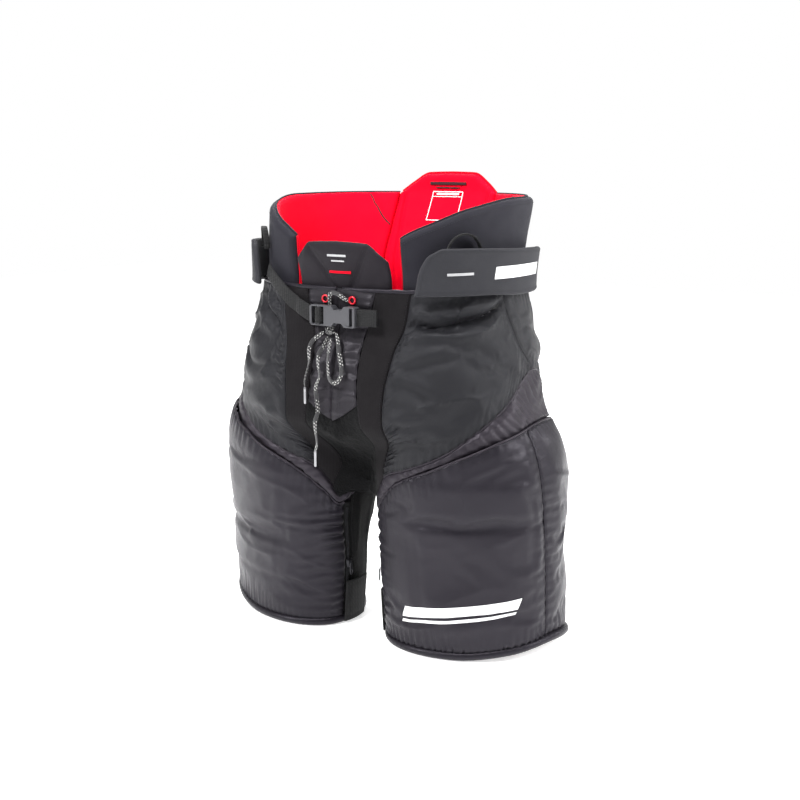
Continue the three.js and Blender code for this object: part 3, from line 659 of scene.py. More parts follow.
# ---- cloth simulation ---------------------------------------------------------------------------
def settle(obj, pin, pressure=0.0, shrink=0.0, cap=6.0, frames=20, bending=.5):
    """Cloth simulation on a finished mesh: pin holds each vertex (1 is fast), cap limits its move in mm."""
    scene = bpy.context.scene
    group = obj.vertex_groups.new(name="pin")
    for i, w in enumerate(pin):
        if w > .001:
            group.add([i], float(w), "REPLACE")
    modifier = obj.modifiers.new("cloth", "CLOTH")
    s = modifier.settings
    s.quality = 6
    s.mass = .25
    s.tension_stiffness = 20
    s.compression_stiffness = 20
    s.shear_stiffness = 8
    s.bending_stiffness = bending
    s.air_damping = 2
    s.vertex_group_mass = "pin"
    s.effector_weights.gravity = 0
    s.shrink_min = shrink
    if pressure:
        s.use_pressure = True
        s.uniform_pressure_force = pressure
    modifier.collision_settings.use_collision = False
    modifier.point_cache.frame_start = 1
    modifier.point_cache.frame_end = frames
    start = np.array([v.co for v in obj.data.vertices])
    for f in range(1, frames + 1):
        scene.frame_set(f)
    shape = obj.evaluated_get(bpy.context.evaluated_depsgraph_get()).to_mesh()
    end = np.array([v.co for v in shape.vertices])
    scene.frame_set(1)
    obj.modifiers.remove(modifier)
    obj.vertex_groups.remove(group)
    if end.shape != start.shape or not np.isfinite(end).all():
        return
    move = end - start
    size = np.linalg.norm(move, axis=1, keepdims=True)
    limit = cap * MM
    move *= np.where(size > 1e-9, limit * np.tanh(size / limit) / np.maximum(size, 1e-9), 0)
    obj.data.vertices.foreach_set("co", (start + move).ravel())
    obj.data.update()


def drape(grid, shrink, cap, bending):
    """The panel's outer face, buckled by simulation as cloth cut a little larger than its place."""
    columns, rows = grid.z.shape
    index = np.arange(columns * rows).reshape(columns, rows)
    faces = np.stack([index[:-1, :-1], index[1:, :-1], index[1:, 1:], index[:-1, 1:]], -1).reshape(-1, 4)
    mirrored = grid.mirror(grid.outer)
    obj = link("drape_helper", mirrored.reshape(-1, 3), faces, [], angle=None)
    settle(obj, 1 - ease(grid.edge, 1, 9).ravel(), shrink=shrink, cap=cap, bending=bending)
    points = np.array([v.co for v in obj.data.vertices]).reshape(columns, rows, 3) / MM
    mesh = obj.data
    bpy.data.objects.remove(obj)
    bpy.data.meshes.remove(mesh)
    grid.outer = grid.mirror(points)


# ---- leg shells ---------------------------------------------------------------------------------
LEFT_THIGH_FOLDS = [
    ([(.1, 95), (.125, 70), (.15, 52)], 5, 1.6),
    ([(.085, 110), (.1, 84), (.12, 66)], 5, 1.4),
    ([(.41, 205), (.425, 160), (.42, 110)], 5, 1.6),
    ([(.4, 222), (.415, 190), (.418, 150)], 4, -1.4),
    ([(.22, 34), (.27, 40), (.33, 52)], 8, 1.0),
]


def proud(turn, z):
    return 6 * ease(z, 120, 270) * ease(turn, .12, .26) * (1 - ease(turn, .7, .9))


thigh_top, hip_line, hem_line = ring(THIGH_TOP), ring(HIP_LINE), ring(HEM_LINE)
hem_edge = lambda turn: hem_line(turn) + HEM_TOP - 2.5
zip_turn = line(ZIP_LINE)
sides = {"left": 1, "right": -1}


def slim(turn):
    """The side of the leg lies closer in, where no guard holds the cloth out."""
    return 3.5 * ease(turn, .4, .47) * (1 - ease(turn, .62, .8))


def clear_of_guard(grid, lowest):
    """Pushes the cloth out wherever it lies lower than the given offset."""
    out = ((grid.outer - grid.base) * grid.normal).sum(-1)
    grid.outer = grid.outer + grid.normal * np.maximum(lowest - out, 0)[..., None]


def hip_guard_room(grid):
    zone = ease(grid.turn, .24, .275) * (1 - ease(grid.turn, .73, .76)) * ease(grid.z, 344, 352) * (
        1 - ease(grid.z, 408, 414))
    return -1.7 - 12 * (1 - zone)


def plate_bend(grid):
    """The edges of the stiff plates behind the thigh show through the cloth."""
    turn, z = grid.turn, grid.z

    def plate(t0, t1, z0, z1, lift, soft=10.0):
        rim = soft / PLATE_GIRTH
        across = ease(turn, t0, t0 + rim) * (1 - ease(turn, t1 - rim, t1))
        return lift * across * ease(z, z0, z0 + soft) * (1 - ease(z, z1 - soft, z1))

    top, step = (232, 172) if grid.side > 0 else (222, 118)
    groove = 1.2 * np.exp(-((z - step) / 9) ** 2) * ease(turn, .18, .24)
    plates = plate(.21, .41, 60, step, 1.5) + plate(.2, .42, step + 5, top, 2.0, 14)
    return plates + plate(.13, .2, 60, 195, .8) - groove


def belly(grid, height):
    """A panel stands out between its lower and its upper edge."""
    return height * np.sin(np.pi * np.clip(grid.along_v / grid.along_v[:, -1:], 0, 1)) ** .7


def rumple(grid, inset, size, swell, fold, depth, seed):
    """Soft unevenness and pulled folds that die away at a panel's edges."""
    soft = ease(grid.edge, 3, inset)
    return soft * (swell * noise(grid.seeded, (*size, 90), seed)
                   + depth * (creases(grid.seeded, *fold, seed + 1, 4) - .3))


def shell(grid, name, piece, material, body, node, slot, seams, welt=None):
    """A panel's cloth with its lining, its lines of stitches and the piping of one edge."""
    obj = sew(grid, f"{name}_{piece}_shell", material, 2.0, MESH, body=body, replaces=[f"{name}_{node}"],
              slot=slot)
    stitch(f"{name}_{piece}_stitching", [grid.run(*seam) for seam in seams], body, slot=slot)
    where, lift, radius = welt
    piping(f"{name}_{piece.removesuffix('_leg')}_piping", grid.run(where, -.2, lift), body, radius)


def thigh(name, side):
    grid = lay_out(side, lambda z: zip_turn(z) + ZIP_HALF, LEG_SIDE, hem_edge, thigh_top, 262, 215, 2.6,
                   corner=(.085, .08))
    seed = 11 if side > 0 else 31
    out = proud(grid.turn, grid.z) + plate_bend(grid) + dip(grid) - slim(grid.turn) + belly(grid, 1.6)
    out += gathers(grid.low, grid.along_u, 8, 15, 1.9, seed)
    out += gathers(grid.high, grid.along_u, 11, 15, 1.4, seed + 1) * (1 - .5 * ease(grid.turn, .3, .44))
    out += gathers(grid.first, grid.along_v, 12, 34 if side < 0 else 26, 2.0, seed + 2)
    out += gathers(grid.last, grid.along_v, 13, 18, .8, seed + 3)
    out += rumple(grid, 30, (80, 55), .9, (90, 26, 18), 1.1, seed + 4)
    folds = LEFT_THIGH_FOLDS if side > 0 else [
        ([(.068, z), (.11, z - 3), (.165, z - 12 + z / 40)], 3.6, 1.35) for z in (148, 132, 117, 101, 88, 72)]
    for path, width, height in folds:
        out += stroke(grid.place, path, width, height)
    grid.raise_to(out)
    drape(grid, -.012, 2.2, bending=1.5)
    clear_of_guard(grid, proud(grid.turn, grid.z) - 2.0 - 12 * (1 - ease(grid.edge, 2, 10)))
    shell(grid, name, "thigh", NYLON, f"{name}_leg", "thigh_panel", "shell_nylon",
          (("high", 3.2), ("last", 3), ("first", 2.6), ("low", 2.5)), ("high", -.2, 1.5))
    return grid


def piping(name, run, body, radius):
    points, normals = run
    path = spline(points[::3] if len(points) > 30 else points, 2.0)
    near = np.argmin(np.linalg.norm(path[:, None] - points[None], axis=-1), axis=1)
    tube(name, path, normals[near], radius, radius, BAND_NYLON, sides=8, body=body, slot="shell_nylon")


def rear_leg(name, side):
    grid = lay_out(side, LEG_SIDE, LEG_BACK, hem_edge, thigh_top, 240, 240, 3.2)
    seed = 51 if side > 0 else 61
    out = proud(grid.turn, grid.z) + dip(grid) - slim(grid.turn) + belly(grid, 1.4)
    out += gathers(grid.low, grid.along_u, 9, 15, 1.2, seed)
    out += gathers(grid.high, grid.along_u, 11, 16, 1.1, seed + 1)
    out += gathers(grid.first, grid.along_v, 12, 16, 1.0, seed + 2)
    out += rumple(grid, 30, (70, 60), 1.6, (85, 30, -22), 2.2, seed + 4)
    grid.raise_to(out)
    drape(grid, -.025, 3.5, bending=.8)
    shell(grid, name, "rear_leg", NYLON, f"{name}_leg", "rear_leg_panel", "shell_nylon",
          (("high", 3.2), ("first", 3), ("low", 2.5), ("last", 3)), ("high", -.2, 1.5))


def inseam(name, side):
    grid = lay_out(side, LEG_BACK - 1, lambda z: zip_turn(z) - ZIP_HALF, hem_edge, thigh_top, 160, 180, 3.2)
    seed = 71 if side > 0 else 81
    out = dip(grid, 1.2) + 1.8 * ease(grid.edge, 2, 25) * noise(grid.seeded, (45, 60, 90), seed)
    out += 2.4 * ease(grid.edge, 3, 25) * (creases(grid.seeded, 70, 24, 70, seed + 5, 4) - .3)
    out += gathers(grid.low, grid.along_u, 9, 14, 1.0, seed + 1)
    grid.raise_to(out - .4)
    sew(grid, f"{name}_inseam_mesh", MESH, 1.8, body=f"{name}_leg", replaces=[f"{name}_inseam_panel"],
        slot="mesh")
    stitch(f"{name}_inseam_stitching", [grid.run("first", 3), grid.run("last", 2.5), grid.run("low", 2.5)],
           f"{name}_leg", slot="mesh")


def leg_lining(name, side):
    """The quilted pad that holds the thigh plates."""
    grid = lay_out(side, .14, .43, 25, lambda t: thigh_top(t) - 14, 220, 215, 3.6)
    channels = np.minimum(np.abs((grid.along_u + 18) % 52 - 26), np.abs((grid.along_v + 20) % 64 - 32))
    puff = 3.2 * (1 - np.exp(-(np.minimum(channels, grid.edge) / 6) ** 1.4))
    lift = proud(grid.turn, grid.z)
    outer, inner = (grid.base + grid.normal * out[..., None] for out in (lift - 7.4, lift - 13.5 - puff))
    obj = slab(f"{name}_thigh_lining", outer, inner, [FOAM], side, body=f"{name}_leg",
               replaces=[f"{name}_thigh_foam"], slot="foam")


def hem(name, side):
    around, sections = 300, 14
    turn = np.linspace(0, 1, around, endpoint=False)[:, None]
    angle = 2 * np.pi * np.arange(sections)[None, :] / sections
    along = turn * LEG_GIRTH
    wobble = noise(np.stack([along, along * 0, along * 0], -1), 23, 5)
    pucker = .45 * np.sin(2 * np.pi * (along / 8.6 + .5 * wobble))
    radius = HEM_ROLL + .35 * pucker * (.4 + .6 * np.clip(np.sin(angle), 0, 1)) - .25
    points = skin(turn, np.full_like(turn, 20.0), radius * np.cos(angle) - 3)
    points[..., 2] = np.maximum(hem_line(turn) + HEM_ROLL + radius * np.sin(angle), hem_line(turn) + .02)
    obj = link(f"{name}_hem_roll", *loft(points * [side, 1, 1], closed=True), NYLON, body=f"{name}_leg",
               replaces=[f"{name}_hem_binding"], slot="shell_nylon", angle=None)


def pleated_band(name, side):
    """Folded cloth between hip and leg, tucked under both edges so that the leg can slide down."""
    around, rows, tuck_low, tuck_high = 420, 40, 33.0, 3.0
    turn = np.linspace(0, 1, around, endpoint=False)
    bottom, top = thigh_top(turn) - tuck_low, hip_line(turn) + tuck_high
    z = mix(bottom[:, None], top[:, None], np.linspace(0, 1, rows)[None, :])
    turn = np.broadcast_to(turn[:, None], z.shape)
    grid = Grid(turn, z, side)
    leg_edge, hip_edge = thigh_top(turn), hip_line(turn)
    below, above = leg_edge - z, z - hip_edge
    seed = 91 if side > 0 else 101
    height = np.maximum(hip_edge - leg_edge, 6)
    shown = (1 - ease(below, -4, 3)) * (1 - ease(above, -5, 0))
    place = np.stack([turn * LEG_GIRTH, z, np.zeros_like(z) + 500 * (side < 0)], -1)
    fold = 1.3 * np.sin(2 * np.pi * ((turn * LEG_GIRTH - below * .9) / 12.5 + .8 * noise(place, 34, seed)))
    fold *= .45 + .55 * noise(place, 40, seed + 2) + .3 * (1 - ease(turn, .15, .3))
    bulge = np.minimum(height * .09, 4.0 - .9 * slim(turn)) * np.sin(np.pi * np.clip(-below / height, 0, 1))
    out = -2.6 * ease(below, -2, 5) - 2.6 * ease(above, -3, 1)
    out += shown * (fold + bulge + 1.5 * (creases(place, 60, 16, 28, seed + 3, 4) - .3))
    # the leg's cloth, at each stage of its slide, leaves this much room
    room = np.full_like(out, 99.0)
    spare = 5.6 + 4.4 * ease(turn, .44, .55) * (1 - ease(turn, .85, .95))
    for drop in (0, 4, 8, 12, 16, 20, 25):
        moved = surface(turn, z + drop) - np.array([0, 0, drop])
        gap = ((moved - grid.base) * grid.normal).sum(-1) + proud(turn, z + drop) - slim(turn) - spare
        room = np.where((below > -1.5) & (drop <= below + 4), np.minimum(room, gap), room)
    out = np.minimum(out, room)
    for _ in range(3):
        out = np.minimum(out, .5 * out + .25 * (np.roll(out, 1, 0) + np.roll(out, -1, 0)))
    grid.raise_to(out)
    slab(f"{name}_pleated_band", grid.outer, grid.outer - grid.normal * 1.4, [BAND_NYLON, MESH], side,
         closed=True,
         body="root", replaces=[f"{name}_extension_band"], slot="shell_nylon", angle=None)


def zip_parts(name, side):
    grid = lay_out(side, lambda z: zip_turn(z) - ZIP_HALF + .0003, lambda z: zip_turn(z) + ZIP_HALF - .0003,
                   9.5, 168,
                   12, 150, 1.6, fine=(.5, 1.2, 2.0))
    grid.raise_to(-1.0 - .5 * np.exp(-(grid.edge / 1.2) ** 2))
    sew(grid, f"{name}_zip_cloth", TAPE, 1.2, body=f"{name}_leg", replaces=[f"{name}_zip_tape"],
        slot="zip_tape")
    z = np.arange(20, 160, 1.5)
    across = unit(skin(zip_turn(z) + .002, z) - skin(zip_turn(z) - .002, z))
    parts = []
    for shift, offset in ((-.0021, 0), (.0021, .75)):
        points = skin(zip_turn(z + offset) + shift, z + offset, -.7)
        vertices, faces = spindles(points, normal(zip_turn(z), z), across, 3.0, 1.0, 1.3)
        parts.append((vertices * [side, 1, 1], faces[:, ::side]))
    join(f"{name}_zip_teeth", parts, METAL, body=f"{name}_leg", slot="zip_metal", angle=None)


def zip_frame(z):
    origin = skin(zip_turn(z), z)
    up = unit(skin(zip_turn(149.0), 149.0) - skin(zip_turn(84.0), 84.0))
    out = skin(zip_turn(z), z, 1.0) - origin
    out = unit(out - up * (out @ up))
    return origin, np.cross(out, up), out, up


def rim_layers(outline, depth0, depth1, bevel):
    """An outline at four depths, drawn in by the bevel at the first and the last."""
    outline = np.asarray(outline, float)
    small = outline + unit(outline.mean(0) - outline) * bevel
    layers = [(small, depth0), (outline, depth0 + abs(bevel)), (outline, depth1 - abs(bevel)),
              (small, depth1)]
    return [np.insert(points, 1, depth, axis=1) for points, depth in layers]


def rounded_plate(outline, depth0, depth1, bevel=.5):
    """A plate from an outline (x, z) with bevelled rims, as (vertices, faces) in (x, depth, z)."""
    return loft(rim_layers(outline, depth0, depth1, bevel))


def framed_ring(outer, inner, depth0, depth1, bevel=.3):
    """A flat ring between two outlines with the same number of points."""
    layers = rim_layers(outer, depth0, depth1, bevel) + rim_layers(inner, depth0, depth1, -bevel)[::-1]
    return loft(layers, closed=True)


def place_in(part, origin, axes, side):
    vertices, faces = part
    world = (origin + vertices @ np.array(axes)) * [side, 1, 1]
    return world, fixed_winding(world, faces)


def zip_metal(name, side):
    origin, across, out, up = zip_frame(84.0)
    foot = [[-4.2, 6], [-4.3, 3], [-4.2, 1], [-2.8, -5.4], [-2.2, -6]]
    crown = [[-3.2, 5], [-3.4, 2], [-1.9, -4.6]]
    parts = []
    for half, depth0, depth1, bevel in ((foot, 1.4, 3.2, .45), (crown, 3.0, 4.7, .5)):
        outline = half + [[-x, z] for x, z in half[::-1]]
        parts.append(place_in(rounded_plate(outline, depth0, depth1, bevel), origin, (across, out, up), side))
    join(f"{name}_slider_body", parts, METAL, body=f"{name}_slider", replaces=[f"{name}_zip_slider"],
         slot="zip_metal", angle=35)
    eye = origin + out * 6.8 + up * .5
    flat_out = unit(np.array([out[0], out[1], 0]))
    axes = (np.cross(flat_out, [0, 0, 1]), flat_out, np.array([0, 0, 1.0]))
    puller = framed_ring(oval(0, -6.6, 2.5, 8.2, 24, 3.2), oval(0, -10.4, 1.2, 2.6, 24, 2.4), -.65, .65)
    join(f"{name}_pull_tag", [place_in(puller, eye, axes, side)], METAL, body=f"{name}_pull",
         replaces=[f"{name}_zip_pull"], slot="zip_metal", angle=35)


def hem_strap(name, side):
    grid = lay_out(side, -.03, .046, 4, 60, 46, 56, 1.8, fine=(.5, 1.2, 2.0))
    bend = .5 * noise(grid.seeded, 18, 5) * ease(grid.edge, 1, 8)
    groove = -.5 * np.exp(-((grid.edge - 5) / .8) ** 2) - .6 * np.exp(-(grid.edge / .8) ** 2)
    grid.raise_to(6.5 + bend * .6 + groove)
    sew(grid, f"{name}_hem_strap", WEB, 1.9, body=f"{name}_tab", replaces=[f"{name}_hem_tab"], slot="webbing")
    stitch(f"{name}_hem_strap_stitching", [grid.run(w, 5.0, .1) for w in ("first", "last", "low", "high")],
           f"{name}_tab", slot="webbing", pitch=2.8, length=2)


# ---- girdle -------------------------------------------------------------------------------------
strip_inner, strip_outer, hip_side, seat_inner = map(line, (STRIP_INNER, STRIP_OUTER, HIP_SIDE, SEAT_INNER))

LEFT_HIP_FOLDS = [
    ([(.13, 402), (.163, 408), (.22, 405), (.26, 410), (.3, 414), (.341, 417), (.4, 426), (.455, 440)], 3.4,
     -6.0),
    ([(.13, 400), (.163, 406), (.22, 403), (.3, 412), (.341, 415), (.4, 424), (.455, 440)], 8, -2.0),
    ([(.135, 420), (.2, 419), (.27, 425), (.35, 430), (.41, 437)], 6.5, 6.0),
    ([(.12, 390), (.18, 395), (.26, 396), (.34, 403), (.42, 414)], 8, 5.5),
    ([(.126, 364), (.196, 374), (.306, 388), (.379, 409)], 8, 3.2),
    ([(.12, 355), (.19, 363), (.28, 374)], 6, -3.4),
    ([(.15, 433), (.229, 436), (.301, 440)], 4.5, -1.5),
    ([(.113, 350), (.165, 347), (.236, 326)], 6.5, 2.8),
    ([(.112, 338), (.16, 334), (.21, 318)], 5.5, -2.6),
    ([(.108, 326), (.176, 318), (.22, 306)], 5.5, 2.5),
    ([(.1, 300), (.14, 300), (.2, 304)], 6, 2.2),
    ([(.1, 288), (.14, 290), (.19, 294)], 5, -2.0),
    ([(.125, 270), (.162, 284), (.202, 288), (.263, 276)], 6.5, 2.6),
    ([(.13, 256), (.17, 267), (.22, 270)], 5.5, -2.2),
]
SEAT_FOLDS = [
    ([(.56, 388), (.62, 372), (.72, 368), (.82, 378)], 11, 2.4),
    ([(.52, 372), (.6, 352), (.72, 348), (.84, 356)], 8, -2.6),
    ([(.62, 420), (.72, 408), (.86, 412)], 9, 2.2),
]
RIGHT_HIP_FOLDS = [
    ([(.26, 440), (.243, 427), (.199, 408), (.142, 390)], 3.6, -5.5),
    ([(.3, 436), (.27, 416), (.22, 396), (.16, 380)], 8, 5.0),
    ([(.235, 434), (.21, 422), (.17, 408)], 5, 4.5),
    ([(.2, 434), (.18, 425), (.155, 415)], 3.5, -3.5),
    ([(.34, 425), (.3, 395), (.24, 374), (.17, 362)], 9, 3.4),
    ([(.42, 410), (.36, 372), (.286, 346), (.19, 344), (.11, 352)], 4.2, -3.6),
    ([(.4, 392), (.34, 356), (.27, 332), (.18, 330)], 8, 3.0),
    ([(.112, 318), (.17, 300), (.24, 292)], 6, 2.4),
    ([(.12, 262), (.17, 268), (.22, 284)], 6, 2.0),
]


def hip(name, side):
    grid = lay_out(side, strip_outer, hip_side, hip_line, WAIST_Z, 225, 165, 2.5)
    seed = 111 if side > 0 else 121
    out = dip(grid, 1.7, 1.8)
    for path, width, height in LEFT_HIP_FOLDS if side > 0 else RIGHT_HIP_FOLDS:
        out += stroke(grid.place, path, width, height) * ease(grid.edge, 0, 9)
    front = gathers(grid.first, grid.along_v, 9.5, 24, 3.0, seed)
    out += front * ease(grid.edge, 0, 4) * (1 - .8 * ease(grid.z, 388, 404))
    out += gathers(grid.low, grid.along_u, 12, 13, 1.2, seed + 1)
    out += gathers(grid.high, grid.along_u, 11, 9, .7, seed + 2)
    out += rumple(grid, 26, (75, 50), 2.4, (95, 22, 14 if side > 0 else -10), 3.0, seed + 3)
    grid.raise_to(out)
    drape(grid, -.02, 3.0, bending=.6)
    clear_of_guard(grid, hip_guard_room(grid))
    shell(grid, name, "hip", MATTE, "root", "hip_panel", "matte_nylon",
          (("first", 2.6), ("last", 3), ("last", 7), ("low", 2.8), ("high", 3)), welt=("low", .1, 1.3))


def seat(name, side):
    grid = lay_out(side, hip_side, seat_inner, hip_line, WAIST_Z, 270, 150, 2.9)
    seed = 131 if side > 0 else 141
    out = dip(grid, 1.7, 1.8)
    out += gathers(grid.high, grid.along_u, 10, 22, 1.9, seed)
    out += gathers(grid.low, grid.along_u, 12, 16, 1.1, seed + 1)
    out += gathers(grid.last, grid.along_v, 13, 16, 1.1, seed + 5)
    out += rumple(grid, 30, (80, 55), 2.4, (100, 30, -16), 2.8, seed + 3)
    for path, width, height in SEAT_FOLDS:
        out += stroke(grid.place, path, width, height)
    grid.raise_to(out)
    drape(grid, -.025, 3.6, bending=.6)
    clear_of_guard(grid, hip_guard_room(grid))
    shell(grid, name, "seat", MATTE, "root", "seat_panel", "matte_nylon",
          (("first", 3), ("low", 2.8), ("high", 3), ("last", 3)), welt=("low", .1, 1.3))


def strip(name, side):
    grid = lay_out(side, strip_inner, strip_outer, hip_line, WAIST_Z, 42, 235, 2.2)
    seed = 151 if side > 0 else 161
    out = dip(grid, 1.3, 1.5) + .6 * ease(grid.edge, 2, 12) * noise(grid.seeded, (30, 40, 60), seed)
    out += gathers(grid.first, grid.along_v, 9, 5, .5, seed + 1)
    out += gathers(grid.last, grid.along_v, 8.5, 5, .5, seed + 2)
    grid.raise_to(out - .3)
    sew(grid, f"{name}_knit_strip", STRETCH, 2.0, body="root", replaces=[f"{name}_stretch_strip"],
        slot="stretch_knit")
    stitch(f"{name}_strip_stitching", [grid.run("first", 2.2), grid.run("last", 2.2)], "root",
           slot="stretch_knit")


def central(turn_at, low, high, columns, rows):
    """Base points and normals of a piece that crosses the centre line, its place across and its heights."""
    u = np.linspace(-1, 1, columns)[:, None]
    v = np.linspace(0, 1, rows)[None, :]
    s = np.abs(u) + 0 * v
    z = mix(low(s), high(s), v)
    turn = turn_at(s, z)
    behind = turn[columns // 2, 0] > .5
    sign = np.sign(u) * (-1 if behind else 1) + 0 * v
    points, n = surface(turn, z), normal(turn, z)
    x = np.abs(points[..., 0])
    base = np.stack([x * sign, points[..., 1], points[..., 2]], -1)
    n = np.stack([np.abs(n[..., 0]) * sign * (x > 1e-6), n[..., 1], n[..., 2]], -1)
    return base, unit(n), s * np.sign(u), z


def fly():
    low = lambda s: SHIELD_TIP + .3 + SHIELD_RISE * s
    base, n, s, z = central(lambda s, z: (strip_inner(z) - SEAM_TURN) * s, low, lambda s: WAIST_Z + 0 * s, 61,
                            90)
    x = base[..., 0]
    gap = (1 - np.abs(s)) * np.maximum(np.abs(base[-1:, :, 0]), 10)
    out = gathers(gap, z, 10, 17, 1.7, 171) + gathers(gap, z, 17, 26, 1.2, 172)
    out += -1.3 * np.exp(-(gap / 1.5) ** 1.3)
    flap = -1.9 * np.exp(-((x + 3) / 1.3) ** 2) + 1.6 * ease(x, -3, 3) * (1 - ease(x, 4, 22))
    out += flap * (1 - ease(z, 425, 440) * .4)
    out += 1.4 * (creases(np.stack([x, z, 0 * z], -1), 40, 15, 8, 173, 4) - .3) * ease(gap, 2, 10)
    outer = base + n * out[..., None]
    slab("gathered_fly", outer, outer - n * 1.8, [FLY, MESH], body="root", replaces=["fly_panel"],
         slot="shell_nylon")
    runs = [(outer[k] + n[k] * .2, n[k]) for k in (2, -3)]
    rows = np.arange(outer.shape[1])
    for at in (8, 11):
        nearest = np.abs(outer[..., 0] - at).argmin(0)
        points = outer[nearest, rows] + [0, -.3, 0]
        points[:, 0] = at
        runs.append((points, n[nearest, rows]))
    stitch("fly_stitching", runs, "root")


def gusset_edge(t, tuck=False):
    """The mesh's outline; tuck gives the hidden strip sewn behind its neighbours."""
    front, under, behind = .3, .55, .75
    lowest, side_turn, back_turn, back_top = 193, .097, .93, 314
    if t < front:
        z = mix(SHIELD_TIP + SHIELD_RISE - .3, lowest, t / front)
        return skin(strip_inner(z) + (.012 if tuck else -SEAM_TURN), z, -4.4 if tuck else 0)
    if t < behind:
        turn = mix(side_turn, 0, (t - front) / (under - front))
        if t >= under:
            turn = mix(1, back_turn, (t - under) / (behind - under))
        return skin(turn, hip_line(turn) + (-4.0 if tuck else 1.0), .2 if tuck else 0)
    z = mix(float(hip_line(back_turn)) + 1, back_top, (t - behind) / (1 - behind))
    return skin(seat_inner(z) + (-.012 if tuck else .002), z, -4.4 if tuck else 0)


def gusset():
    columns, rows = 41, 121
    valley = [[0, 2], [.15, 12], [.3, 20], [.55, 2], [.7, 0], [1, 0]]
    t = 1 - np.linspace(0, 1, rows)
    edge, tuck = (np.array([gusset_edge(float(at), hidden) for at in t]) for hidden in (False, True))
    s = np.linspace(-1, 1, columns)[:, None]
    t = t[None, :]
    lean = np.pi * ease(t, .2, .85)
    foot = SHIELD_RISE * (1 - np.abs(s)) * (1 - ease(t, 0, .25))
    outer = np.stack([edge[None, :, 0] * s, edge[None, :, 1] + through(valley, t) * (1 - s * s),
                      edge[None, :, 2] - foot], -1)
    d = np.stack([0 * lean, -np.cos(lean), -np.sin(lean)], -1) + 0 * outer
    fold = 2.2 * (creases(outer, 50, 15, 60, 181, 4) - .25) * (1 - np.abs(s) ** 4)
    fold += 1.5 * noise(outer, 26, 183) * (1 - s ** 4)
    outer = outer + d * (fold - 1.0)[..., None]
    outer = np.concatenate([(tuck * [-1, 1, 1])[None], outer, tuck[None]])
    behind, front = outer[:, :1] * [.9, 1, 1] + [0, -3.0, 14.0], outer[:, -1:] + [0, 3.6, 7.0]
    outer = np.concatenate([behind, outer, front], 1)
    d = np.pad(d, ((1, 1), (1, 1), (0, 0)), "edge")
    slab("crotch_mesh", outer, outer - d * 1.6, [MESH], body="root", replaces=["crotch_gusset"], slot="mesh")


def seam_tapes():
    """Bound seams on the inside of the shells."""
    about = {"square": 4, "slot": "mesh"}
    for name, side in sides.items():
        for k, turn in enumerate((LEG_SIDE, LEG_BACK), 1):
            z = np.linspace(float(hem_line(turn)) + 9, float(thigh_top(turn)) - 5, 60)
            skin_tube(f"{name}_leg_seam_tape_{k}", side, turn, z, proud(turn, z) - slim(turn) - 4.2, 5.5, .45,
                      TAPE,
                      body=f"{name}_leg", **about)
        for k, shift in enumerate((-ZIP_HALF - .0008, ZIP_HALF + .0008), 1):
            z = np.linspace(9.5, 150, 50)
            skin_tube(f"{name}_zip_seam_tape_{k}", side, zip_turn(z) + shift, z, -4.2, 3.4, .4, TAPE,
                      body=f"{name}_leg", **about)
        for k, (at, low) in enumerate(((hip_side, 350), (strip_outer, 228), (strip_inner, 316)), 1):
            z = np.linspace(low, 423, 70)
            skin_tube(f"{name}_girdle_seam_tape_{k}", side, at(z), z, -4.5, 5.0, .4, TAPE, body="root",
                      **about)
    z = np.linspace(322, 423, 50)
    points = skin(np.full(50, 1.0), z, np.full(50, -4.5)) * [0, 1, 1]
    tube("centre_back_tape", points, np.tile([0, 1.0, 0], (50, 1)), 5.0, .4, TAPE, body="root", **about)


def waist_trim():
    """Elastic inside the top edge, and the folded edge itself."""
    u = np.linspace(0, 1, 260)[:, None]
    v = np.linspace(0, 1, 9)[None, :]
    turn = 1 - (1 - .135) * np.abs(2 * u - 1) + 0 * v
    z = mix(425, 446, v + 0 * u)
    rib = .25 * np.sin(2 * np.pi * turn * GIRTH / 4.2)
    mirror = np.stack([np.where(u < .5, -1.0, 1.0) + 0 * v, 1 + 0 * turn, 1 + 0 * turn], -1)
    slab("waist_elastic", skin(turn, z, -3.4 + 0 * z) * mirror, skin(turn, z, -5.3 + rib) * mirror, [WEB],
         body="root", replaces=["waistband"], slot="webbing", angle=None)
    half = np.linspace(.004, 1, 200)
    turn = np.concatenate([half, half[-2::-1]])
    side = np.where(np.arange(len(turn)) < len(half), 1.0, -1.0)
    mirror = np.stack([side, np.ones_like(side), np.ones_like(side)], -1)
    wobble = .5 * noise(np.stack([turn * GIRTH * side, turn * 0, turn * 0], -1), 13, 7)
    points = skin(turn, np.full_like(turn, WAIST_Z - .6), -.9 + wobble * .6) * mirror
    points[:, 2] += wobble * .5
    normals = normal(turn, np.full_like(turn, WAIST_Z)) * mirror
    tube("waist_edge", points, normals, 2.4, 1.5, NYLON, sides=10, body="root", slot="shell_nylon",
         angle=None)


# ---- collar -------------------------------------------------------------------------------------
def rounded(edge, radius):
    """How far a pad has risen, 0 to 1, at a distance from its rim."""
    return np.sqrt(np.maximum(1 - (1 - np.clip(edge / radius, 0, 1)) ** 2, 0))


def cushion(base, n, edge, face, mid, radius, crown, relief, name, material, side=1, **about):
    """A crowned pad from its middle offset to its face offset; also gives its face's points."""
    rise = rounded(edge, radius)
    out = mid + np.sign(face - mid) * (abs(face - mid) * rise + crown * ease(edge, 0, 40) + relief * rise)
    top, back = base + n * out[..., None], base + n * (mid + 0 * out)[..., None]
    layers = (top, back) if face > mid else (back, top)
    return slab(name, *layers, [material], side, angle=70, **about), top


